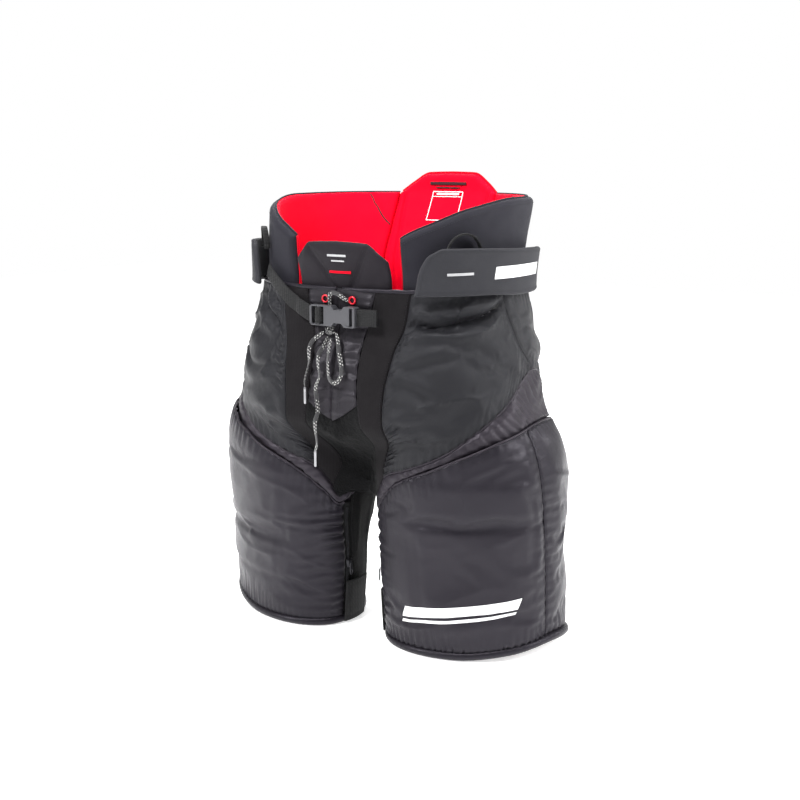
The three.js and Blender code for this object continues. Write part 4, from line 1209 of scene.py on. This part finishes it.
def stuff(obj, edge, body, node, hold=(1, 9), face_first=True, press=3.0, grow=-.006, cap=2.5,
          bending=2):
    """Fills a pad by simulation, its rim and its flat back held, fixes it to its body and hides the part it
    stands for.
    """
    face = np.clip(1 - ease(edge, *hold), 0, 1).ravel()
    back = np.ones_like(face)
    settle(obj, np.concatenate([face, back] if face_first else [back, face]), press, grow, cap,
           bending=bending)
    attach(obj, body)
    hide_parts(node)


def kidney(name, side):
    grid = lay_out(side, .13, SPINE_EDGE - .0008, 414, line(COLLAR_TOP), 470, 120, 4.0, fine=(1, 2.5, 4.5))
    edge = np.minimum(np.minimum(np.minimum(grid.first, grid.last), grid.high), grid.low + 6)
    soft = .5 * noise(grid.seeded, (70, 50, 90), 191 if side > 0 else 201)
    cover, _ = cushion(grid.base, grid.normal, edge, -7, -14.9, 8, .6, soft, f"{name}_kidney_cover", COVER,
                       side,
                       slot="pad_cover")
    stuff(cover, grid.edge, "root", f"{name}_kidney_pad")
    seam = stroke(grid.place, [(.772, 552), (.8, 530), (.835, 512), (.868, 500)], 3.4, -3.0, .6)
    seam += stroke(grid.place, [(.772, 552), (.78, 546), (.79, 540)], 4, -1.5)
    relief = .42 * ease(edge, 2, 35) + soft + seam
    lining, face = cushion(grid.base, grid.normal, edge, -20.4, -15.1, 8, 1.6, relief,
                           f"{name}_kidney_lining", LINER,
                           side, slot="liner")
    stuff(lining, grid.edge, "root", f"{name}_kidney_liner", face_first=False)
    rims = [(skin(grid.turn[:, -1], grid.z[:, -1] + .4, -15.0), grid.normal[:, -1]),
            (skin(grid.turn[0], grid.z[0], -15.0) + unit(grid.base[0] - grid.base[1]) * .6, grid.normal[0])]
    for k, (points, normals) in enumerate(rims):
        points, normals = points * [side, 1, 1], normals * [side, 1, 1]
        path = spline(points[::2], 2.5)
        near = np.argmin(np.linalg.norm(path[:, None] - points[None], axis=-1), axis=1)
        tube(f"{name}_kidney_piping_{k + 1}", path, normals[near], 1.2, 1.2, RED_EDGE if k else COVER,
             sides=8,
             body="root", slot="liner" if k else "pad_cover", angle=None)
    skin_tube(f"{name}_collar_join", side, SPINE_EDGE - .0004, np.linspace(424, 546, 40), -14.0, 4.0, .6,
              LINER,
              sides=10, square=3, body="root", slot="liner", angle=None)
    route = [(.772, 545), (.785, 536), (.8, 527), (.82, 517), (.84, 509), (.86, 502)]
    at = spline([(turn * GIRTH, z, 0) for turn, z in route], 3)
    grid.outer, grid.normal = face, -grid.normal
    points, normals = on_grid(grid, at[:, 0] / GIRTH, at[:, 1], .1)
    points = spline(points[::3], 2)
    tube(f"{name}_lining_seam", points, np.repeat(normals[:1], len(points), 0), 1.0, .6, DARK_PRINT, sides=8,
         body="root", slot="liner", angle=None)
    grid.normal = -grid.normal
    grid.raise_to(-6.7 + 0 * grid.z)
    stitch(f"{name}_kidney_stitching", [grid.run("high", 7.5, .25), grid.run("first", 7.5, .25)], "root",
           slot="pad_cover", width=.5, height=.4)


def spine():
    base, n, s, z = central(lambda s, z: 1 - (1 - SPINE_EDGE) * s, lambda s: 418 + 0 * s, line(SPINE_TOP), 90,
                            60)
    u, v = arc(base, 0), arc(base, 1)
    edge = np.minimum(np.minimum(u, u[-1:] - u), np.minimum(v[:, -1:] - v, v + 6))
    cover, _ = cushion(base, n, edge, -7, -12.6, 7, .8, .4 * noise(base, 60, 211), "spine_cover", COVER,
                       slot="pad_cover")
    stuff(cover, edge, "root", "spine_pad")
    panel_seam = -2.4 * np.exp(-((np.abs(s) - .86 + .0012 * (560 - z)) / .035) ** 2) * ease(z, 585, 540)
    lining, _ = cushion(base, n, edge, -20.4, -12.8, 9, 2.0, panel_seam + .5 * noise(base, 70, 213),
                        "spine_lining",
                        LINER, slot="liner")
    stuff(lining, edge, "root", "spine_liner", face_first=False)
    spine_marks()
    top = spline((base[:, -1] + n[:, -1] * -12.8 + [0, 0, .4])[::3], 2.5)
    tube("spine_piping", top, np.tile([0, 1.0, 0], (len(top), 1)), 1.5, 1.5, RED_EDGE, sides=8, body="root",
         slot="liner", angle=None)


def spine_marks():
    """A blank woven label with a stitched frame, and two plain bars above it."""
    half_width, face = 108, 23.0

    def at(x, z, lift):
        turn = 1 - (1 - SPINE_EDGE) * np.abs(x) / half_width
        p, q = surface(turn, z), normal(turn, z)
        q = unit(np.stack([np.abs(q[..., 0]) * np.sign(x), q[..., 1], q[..., 2]], -1))
        return np.stack([x, p[..., 1], p[..., 2]], -1) - q * (face + lift), -q

    def bar(x0, x1, z0, z1, width):
        count = max(int(max(abs(x1 - x0), abs(z1 - z0)) / 2), 4)
        points, normals = at(np.linspace(x0, x1, count), np.linspace(z0, z1, count), .3)
        return sweep(points, normals, width / 2, .5, sides=8, square=4)

    join("spine_dark_bars", [bar(-30, 28, 561, 561, 4.0), bar(-20, 18, 554.5, 554.5, 1.8)], DARK_PRINT,
         body="root",
         slot="liner")
    x, low, high = 24, 505, 547
    frame_lines = [bar(-x, x, high, high, 1.4), bar(-x, x, low, low, 1.4), bar(-x, -x, low, high, 1.4),
                   bar(x, x, low, high, 1.4), bar(-x, x, high - 10, high - 10, 1.2),
                   bar(-18, 18, high - 5, high - 5, 3.0)]
    join("spine_label_frame", frame_lines, PRINT, body="root", slot="liner")


def tongue():
    half, low, thick = 64, 402, 9
    top = [[0, 503], [40, 501], [52, 491], [64, 480]]
    forward = np.array([0, -1.0, 0])
    middle_y = lambda x, z: -117.8 + 5 * (x / half) ** 2 - 15 * ease(z, 450, 505) - CENTRE_Y + thick / 2
    vee_x = lambda z: 12 + (z - 448) * .62
    u = fractions(2 * half, 2.6, (1, 2.5, 4.5))[:, None]
    v = fractions(100, 2.6, (1, 2.5, 4.5))[None, :]
    x = mix(-half, half, u) + 0 * v
    z = mix(low, through(top, np.abs(x)), v)
    base = np.stack([x, middle_y(x, z), z], -1)
    across, up = arc(base, 0), arc(base, 1)
    edge = np.minimum(np.minimum(across, across[-1:] - across), np.minimum(up[:, -1:] - up, up + 5))
    rise = rounded(edge, 5.5)
    vee = np.abs(np.abs(x) - vee_x(z)) / 1.18
    seam = -2.2 * np.exp(-(vee / 2.2) ** 1.6) * ease(z, 440, 450)
    puff = 1.3 * ease(np.minimum(edge, vee), 0, 14)
    front = rise * (thick / 2 - 1.2 + puff + seam + .3 * noise(base, 22, 221))
    rear = rise * (thick / 2 - .8)
    obj = slab("belly_tongue", base + forward * front[..., None], base - forward * rear[..., None], [TONGUE],
               angle=70, slot="pad_cover")
    stuff(obj, np.minimum(edge, vee), "root", "belly_pad", (1, 7), cap=1.5)

    def on_face(x, z, lift):
        """A run of points on the tongue's face, with their normals."""
        x = x + 0 * z
        points = np.stack([x, middle_y(x, z) - (thick / 2 + .1) - lift, z + 0 * x], -1)
        return points, np.tile(forward, (len(points), 1))

    z = np.linspace(452, 494, 16)
    runs = [on_face(s * (vee_x(z) + shift), z, .1) for s in (-1, 1) for shift in (-2.8, 2.8)]
    stitch("tongue_stitching", runs, "root", slot="pad_cover", width=.5, height=.4)
    bars = [sweep(*on_face(np.linspace(-reach, reach, 10), np.full(10, z), .35), width / 2, .3, sides=8,
                  square=4)
            for reach, z, width in ((13, 486, 2.6), (9, 479.5, 1.8))]
    join("tongue_grey_bars", bars, GREY_PRINT, body="root", slot="pad_cover")
    tube("tongue_red_bar", *on_face(np.linspace(-15, 15, 12), np.full(12, 466.0), .35), 1.5, .3, RED_EDGE,
         sides=8,
         square=4, body="root", slot="liner")


# ---- wings --------------------------------------------------------------------------------------
def wing(name, side, shift):
    front = lambda z: through(WING_FRONT, z) + shift
    grid = lay_out(side, front, WING_BACK, line(WING_LOW), line(WING_HIGH), 220 if shift else 260, 55, 2.6,
                   fine=(.6, 1.6, 3.2))
    middle = mix(9, 4, ease(grid.turn, .25, .5)) + 4.0
    rise = rounded(grid.edge, 3.4)
    soft = .35 * noise(grid.seeded, (45, 30, 60), 231) * ease(grid.edge, 2, 12)
    channel = -.5 * np.exp(-((grid.edge - 5.5) / .9) ** 2)
    grid.raise_to(middle + (4.0 + soft + channel) * rise)
    inner = grid.base + grid.normal * (middle - 3.9 * rise)[..., None]
    obj = slab(f"{name}_wing_pad", grid.outer, inner, [WING], side, angle=60, slot="wing_foam")
    stuff(obj, grid.edge, f"{name}_wing_flap", f"{name}_wing", (3, 12), press=1.5, grow=-.004, cap=1.0,
          bending=3)
    stitch(f"{name}_wing_stitching", [grid.run(w, 5.5, .1) for w in ("low", "high", "first", "last")],
           f"{name}_wing_flap", slot="wing_foam", width=.5, height=.4)
    return grid


def patch(name, grid, first, last, low, high, body, material=PRINT, slot="shell_nylon", slant=0.0):
    """A thin printed area that follows the finished cloth; slant leans its ends."""
    columns = max(int((last - first) * GIRTH / 2.2), 6)
    rows = max(int((high(first) - low(first)) / 1.6), 3)
    u, v = np.linspace(0, 1, columns)[:, None], np.linspace(0, 1, rows)[None, :]
    turn = mix(first, last, u) + slant * v
    z = mix(low(turn), high(turn), v)
    shape = (columns, rows, 3)
    top, base = (on_grid(grid, turn.ravel(), z.ravel(), lift)[0].reshape(shape) for lift in (.55, -.1))
    slab(name, top, base, [material], body=body, slot=slot)


def on_grid(grid, turn, z, lift):
    """Points on a panel's finished outer face, by turn and height, mirrored to its side."""
    places = np.stack([grid.turn.ravel() * GIRTH, grid.z.ravel()], -1)
    points, normals = grid.outer.reshape(-1, 3), grid.normal.reshape(-1, 3)
    picked, facing = [], []
    for t, h in zip(turn, z):
        d = np.linalg.norm(places - [t * GIRTH, h], axis=1)
        near = np.argpartition(d, 14)[:14]
        w = np.exp(-(d[near] / 2.2) ** 2) + 1e-9
        w /= w.sum()
        picked.append((points[near] * w[:, None]).sum(0))
        facing.append((normals[near] * w[:, None]).sum(0))
    picked, facing = np.array(picked), unit(np.array(facing))
    return grid.mirror(picked + facing * lift), grid.mirror(facing)


def side_loop(name, side):
    middle, reach, foot, rise, thick = .3, .052, 487, 27, 2.4
    angle = np.pi * (1 - np.linspace(0, 1, 60))
    size = 1 - .5 * thick / rise
    turn = middle + reach * size * np.cos(angle)
    z = foot + rise * size * np.sin(angle)
    points = skin(turn, z, .25 + 0 * z) * [side, 1, 1]
    outward = unit(np.cross(unit(np.gradient(points, axis=0)), normal(turn, z) * [side, 1, 1]))
    outward *= np.sign(outward[30, 2])
    tube(f"{name}_finger_loop", points, outward, 3.75, 1.1, WEB, sides=14, square=4, body="root",
         replaces=[f"{name}_side_loop"], slot="webbing")


# ---- belt and buckle ----------------------------------------------------------------------------
def ribbon(points, half_thick):
    """Belt webbing along a path, its width upright."""
    face = unit(np.cross(unit(np.gradient(points, axis=0)), [0, 0, 1.0]))
    return sweep(points, face, 9.8, half_thick, square=5)


def belt():
    turn = np.linspace(.075, .24, 60)
    lift = 2.1 + 8.6 * (1 - ease(turn, .056, .1))
    round_waist = (skin(turn, through(BELT_LINE, turn), lift) * [-1, 1, 1])[::-1]
    by, bz = BUCKLE_Y, BUCKLE_Z
    weave = [[-40, by + 5, bz + .7], [-36, by + 4.9, bz + .3], [-31.5, by + 4.6, bz],
             [-28.5, by + 1.5, bz], [-25, by - 3.4, bz], [-22, by - 4.6, bz], [-18.8, by - 3.6, bz],
             [-16.5, by + 1.5, bz], [-19, by + 5, bz], [-24, by + 6.2, bz], [-31, by + 6.8, bz + .2]]
    keep = round_waist[round_waist[:, 0] < -44]
    path = spline(np.concatenate([keep[::5], weave]), 1.6)
    obj = link("belt_webbing", *ribbon(path, .75), WEB, slot="webbing")
    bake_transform(obj)
    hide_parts("belt_long_strap")
    fold = [[57, by + 1.6, bz], [46, by + 1.4, bz], [37, by + 1.1, bz], [32.5, by + .6, bz],
            [28, by - .8, bz], [25.7, by + .5, bz], [25.6, by + 5.2, bz], [29, by + 6.6, bz],
            [38, by + 4.6, bz], [48, by + 3.4, bz], [57, by + 3.3, bz]]
    link("short_webbing", *ribbon(spline(fold, 1.4), .7), WEB, body="root", replaces=["belt_short_strap"],
         slot="webbing")
    face, low, high, same = np.full(8, by + .75), 408, 423, np.ones(8)
    sides_up, sides_out = np.linspace(low, high, 8), np.linspace(40, 55, 8)
    box = [(sides_out, face, same * z) for z in (low, high)]
    box += [(same * x, face, sides_up) for x in (40.5, 54.5)]
    stitch("webbing_box_stitch", [(np.stack(run, -1), np.tile([0, -1.0, 0], (8, 1))) for run in box], "root",
           slot="webbing", pitch=2.6, length=1.9, width=.6)
    for node in ("buckle_socket", "buckle_plug", "upper_prong", "lower_prong"):
        soften(node, PLASTIC, .7 if "buckle" in node else .45)


def soften(node, material, width, angle=32):
    """Rounds a hard part's edges and gives it its finish."""
    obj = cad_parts[node]
    weld = obj.modifiers.new("weld", "WELD")
    weld.merge_threshold = .00002
    bevel = obj.modifiers.new("bevel", "BEVEL")
    bevel.width = width * MM
    bevel.segments = 3
    bevel.limit_method = "ANGLE"
    bevel.angle_limit = math.radians(angle)
    bevel.use_clamp_overlap = True
    obj.data.materials.clear()
    obj.data.materials.append(material)


# ---- lace ---------------------------------------------------------------------------------------
BRIDGE = [[17, -130, 433.5], [10, -130, 437], [2, -129.5, 441], [-6, -129.5, 442], [-10.5, -129, 438],
          [-11.6, -126.5, 430], [-11.6, -125, 418], [-11, -125, 408], [-10, -126, 402]]
RIGHT_STRAND = [[-17.5, -131, 395], [-24, -133, 390], [-31, -136, 383], [-34, -139, 373], [-31, -143, 361],
                [-32, -146, 350], [-34.5, -148, 338], [-33.5, -149, 328]]
LEFT_STRAND = [[-11, -132, 389.5], [-13, -137, 380], [-18, -142, 369], [-16, -146, 356], [-13, -148, 344],
               [-17.5, -149.5, 331], [-16, -150, 316], [-14.5, -150, 302], [-19, -150, 288], [-18, -150, 274],
               [-16.5, -150, 262], [-19, -150, 252]]
BOW = [[.5, -131.5, 395], [5, -135, 386], [9, -139, 374], [13.5, -142, 362], [16.5, -145, 351],
       [14, -147.2, 341.5],
       [7.5, -147.8, 337.8], [.8, -147, 341.5], [-3, -144.8, 351], [-5.5, -141, 363], [-6, -137.8, 376],
       [-5, -134.5, 389]]
LACE_WIDTH = 5.0


def lace_material():
    """Flat braid: black with a painted highlight on its raised crossings and rows of pale flecks, laid out
    along the lace.
    """
    n = Nodes("braided_lace")
    uv = n.add("ShaderNodeSeparateXYZ", Vector=n.coords.outputs["UV"])
    along, across = uv.outputs[0], uv.outputs[1]
    slant = n.math("ADD", along, n.math("MULTIPLY", n.math("ABSOLUTE", across), .8))
    braid = n.math("MULTIPLY", n.wave(slant, 1.6), n.wave(across, 1.3))
    row = n.math("GREATER_THAN", n.wave(n.math("ADD", along, n.math("MULTIPLY", across, .9)), 4.2), .45)
    column = n.math("GREATER_THAN", n.wave(across, 2.2), .15)
    stretch = n.math("GREATER_THAN", n.wave(along, 27), -.35)
    fleck = n.math("MULTIPLY", n.math("MULTIPLY", row, column), stretch)
    # painted highlight: the colour is lighter where the braid's bump is high
    highlighted_braid = n.blend(n.math("MULTIPLY", n.math("ADD", braid, 1), .5, clamp=True), srgb(18, 18, 20),
                   srgb(44, 43, 46))
    n.put(n.shader, "Base Color", n.blend(fleck, highlighted_braid, (.62, .62, .6, 1)))
    n.put(n.shader, "Roughness", n.spread(n.noise(300, 3), .6, .8))
    n.shader.inputs["Sheen Weight"].default_value = .25
    n.put(n.shader, "Normal", n.bump(braid, .8, .0003))
    return n.material


LACE = lace_material()


def weave_uv(obj, uv):
    """Lays the lace's pattern on its mesh; uv has a place for each vertex."""
    layer = obj.data.uv_layers.new(name="weave")
    loops = np.array([loop.vertex_index for loop in obj.data.loops])
    layer.data.foreach_set("uv", uv[loops].ravel())


def lace(name, route, node, exit_at, twist):
    sides_round = 14
    path = spline([[x, y - CENTRE_Y, z] for x, y, z in route], 1.5)
    s = np.linspace(0, 1, len(path))
    angle = twist(s)
    normals = np.stack([np.sin(angle), -np.cos(angle), 0 * s], -1)
    t = unit(np.gradient(path, axis=0))
    normals = unit(normals - t * (normals * t).sum(-1, keepdims=True))
    ends = np.minimum(1, .6 + .4 * np.minimum(s, 1 - s) * len(path) / 4)
    form = sweep(path, normals, LACE_WIDTH / 2, .85, sides=sides_round, square=2.6, taper=ends)
    obj = link(name, *form, LACE, body="root", replaces=[node], slot="lace", angle=None)
    run = np.concatenate([[0], np.cumsum(np.linalg.norm(np.diff(path, axis=0), axis=1))])
    across = np.cos(2 * np.pi * np.arange(sides_round) / sides_round) * LACE_WIDTH / 2
    weave_uv(obj, np.stack([np.repeat(run, sides_round), np.tile(across, len(path))], -1))


def lace_end(name, route, node):
    """A metal tip, turned round an upright line through the lace's end."""
    x, y, z = route[-1]
    profile = ((1.2, 1.5), (-.4, 1.75), (-1.3, 1.9), (-2.2, 1.75), (-8, 1.72), (-13, 1.75), (-17.6, 1.72),
               (-18.9, 1.4), (-19.3, .5))
    rings = [np.insert(oval(x, y - CENTRE_Y, r, r, 16, 2), 2, z + h, axis=1) for h, r in profile]
    return link(name, *loft(rings), TIP, body="root", replaces=[node], slot="aglet", angle=40)


def knot():
    centre = np.array([-9, -131 - CENTRE_Y, 397.0])
    parts = []
    for tilt, turn, reach, shift in ((25, 0, 6.2, 0), (-38, 20, 5.2, .6), (80, -15, 4.4, -.6)):
        a = np.linspace(0, 2 * np.pi, 40, endpoint=False)
        wrap = np.stack([reach * np.cos(a), 2.6 * np.sin(a), .9 * np.cos(2 * a)], -1)
        rotation = Matrix.Rotation(math.radians(turn), 3, "Z") @ Matrix.Rotation(math.radians(tilt), 3, "Y")
        wrap = wrap @ np.array(rotation).T
        parts.append(sweep(wrap + centre + [0, shift, 0], unit(wrap), 1.9, .9, sides=10, square=2.6,
                           closed=True))
    rings = [np.insert(oval(0, 0, 4.6 * np.sin(t), 2.4 * np.sin(t), 14, 2), 2, 3.6 * np.cos(t), axis=1)
             for t in np.linspace(0, np.pi, 9)[1:-1]]
    parts.append(loft(np.array(rings) + centre))
    obj = join("lace_tie", parts, LACE, body="root", replaces=["lace_knot"], slot="lace", angle=None)
    x, _, z = np.array([v.co for v in obj.data.vertices]).T / MM
    weave_uv(obj, np.stack([x + z * .7, z - x * .5], -1))
    return obj


def eyelet(name, side):
    """A rolled metal ring in the fly's cloth."""
    x, z = 19 * side, 434.0
    y = float(surface(.03, z)[1]) - 1.7
    profile = ((4.9, .9), (5.05, .2), (4.8, -.7), (4.2, -1.15), (3.5, -.9), (3.1, -.2), (3.0, .8), (3.4, 1.1),
               (4.4, 1.1))
    rings = [np.insert(oval(x, z, r, r, 36, 2), 1, y + d, axis=1) for r, d in profile]
    link(f"{name}_lace_eyelet", *loft(rings, closed=True), ENAMEL, body="root", replaces=[f"{name}_eyelet"],
         slot="eyelet_red", angle=None)


def lacing():
    place = lambda route: np.array(route[0]) - [0, CENTRE_Y, 0]
    right_tip = lace_end("right_lace_tip", RIGHT_STRAND, "right_aglet")
    left_tip = lace_end("left_lace_tip", LEFT_STRAND, "left_aglet")
    tie = knot()
    lace("lace_over_fly", BRIDGE, "lace_bridge", place(BRIDGE), lambda s: .5 * np.sin(5 * s))
    lace("lace_right_end", RIGHT_STRAND, "right_lace", place(RIGHT_STRAND),
         lambda s: -.35 + .7 * np.sin(6 * s))
    lace("lace_left_end", LEFT_STRAND, "left_lace", place(LEFT_STRAND),
         lambda s: .25 + .8 * np.sin(11 * s + 1))
    lace("lace_loop", BOW, "lace_bow", place(BOW), lambda s: .5 * np.sin(6.28 * s))
    for name, side in sides.items():
        eyelet(name, side)


# ---- build --------------------------------------------------------------------------------------
lacing()
thigh_grids = {}
for name, side in sides.items():
    thigh_grids[name] = thigh(name, side)
    rear_leg(name, side)
    inseam(name, side)
    leg_lining(name, side)
    hem(name, side)
    pleated_band(name, side)
    zip_parts(name, side)
    zip_metal(name, side)
    hem_strap(name, side)
    hip(name, side)
    seat(name, side)
    strip(name, side)
    kidney(name, side)
    side_loop(name, side)
fly()
gusset()
seam_tapes()
waist_trim()
spine()
tongue()
wing_grids = {"left": wing("left", 1, 0), "right": wing("right", -1, .075)}
belt()
for node in ("left_thigh_guard", "right_thigh_guard", "left_hip_guard", "right_hip_guard", "tailbone_guard"):
    soften(node, GUARD, .6, 60)

# plain bars where a maker would print a mark
leaning = lambda z: lambda t: z + 95 * (np.asarray(t, float) - .16)
level = lambda z: lambda t: z + 0 * t
patch("thigh_wide_bar", thigh_grids["left"], .165, .375, leaning(48), leaning(61), "left_leg",
      slant=.008)
patch("thigh_narrow_bar", thigh_grids["left"], .162, .372, leaning(40.5), leaning(44), "left_leg",
      slant=.002)
patch("wing_wide_bar", wing_grids["left"], .37, .56, level(461), level(475), "left_wing_flap",
      slot="wing_foam", slant=.006)
patch("wing_small_bar", wing_grids["left"], .245, .31, level(467.5), level(470.5),
      "left_wing_flap", GREY_PRINT, "wing_foam")

# ---- floor and light ----------------------------------------------------------------------------
floor_material = Nodes("floor_paper")
floor_material.put(floor_material.shader, "Base Color", floor_material.blend(
    floor_material.noise(3, 2), (.93, .93, .93, 1), (.95, .95, .95, 1)))
floor_material.shader.inputs["Roughness"].default_value = .9
floor_material.shader.inputs["Emission Color"].default_value = (1, 1, 1, 1)
floor_material.shader.inputs["Emission Strength"].default_value = .62
floor = link("floor", [[-4000, -4000, 0], [4000, -4000, 0], [4000, 4000, 0], [-4000, 4000, 0]],
             [[0, 1, 2, 3]],
             floor_material.material)

world = bpy.data.worlds.new("studio")
bpy.context.scene.world = world
world.use_nodes = True
sky = world.node_tree.nodes
sky_coords, sky_axes, sky_range = (sky.new(kind) for kind in ("ShaderNodeTexCoord", "ShaderNodeSeparateXYZ",
                                                              "ShaderNodeMapRange"))
for socket, value in enumerate((.12, .42, 1.0, .3), 1):
    sky_range.inputs[socket].default_value = value
sky_range.interpolation_type = "SMOOTHSTEP"
world.node_tree.links.new(sky_coords.outputs["Generated"], sky_axes.inputs[0])
world.node_tree.links.new(sky_axes.outputs[2], sky_range.inputs[0])
world.node_tree.links.new(sky_range.outputs[0], sky["Background"].inputs["Strength"])
sky["Background"].inputs["Color"].default_value = (1, 1, 1, 1)


def area(name, azimuth, elevation, distance, size, power):
    data = bpy.data.lights.new(name, "AREA")
    data.shape = "RECTANGLE"
    data.size, data.size_y = size
    data.energy = power
    obj = bpy.data.objects.new(name, data)
    bpy.context.scene.collection.objects.link(obj)
    direction = heading(math.radians(azimuth), math.radians(elevation))
    obj.location = Vector((0, 0, .3)) + direction * distance
    obj.rotation_euler = direction.to_track_quat("Z", "Y").to_euler()


area("key", -16, 50, 2.2, (.8, .5), 62)
area("side_strip", 112, 28, 2.2, (.35, 1.2), 52)
area("top", 40, 82, 2.2, (.7, .7), 30)
area("rim", 215, 45, 2.3, (1.2, .7), 30)
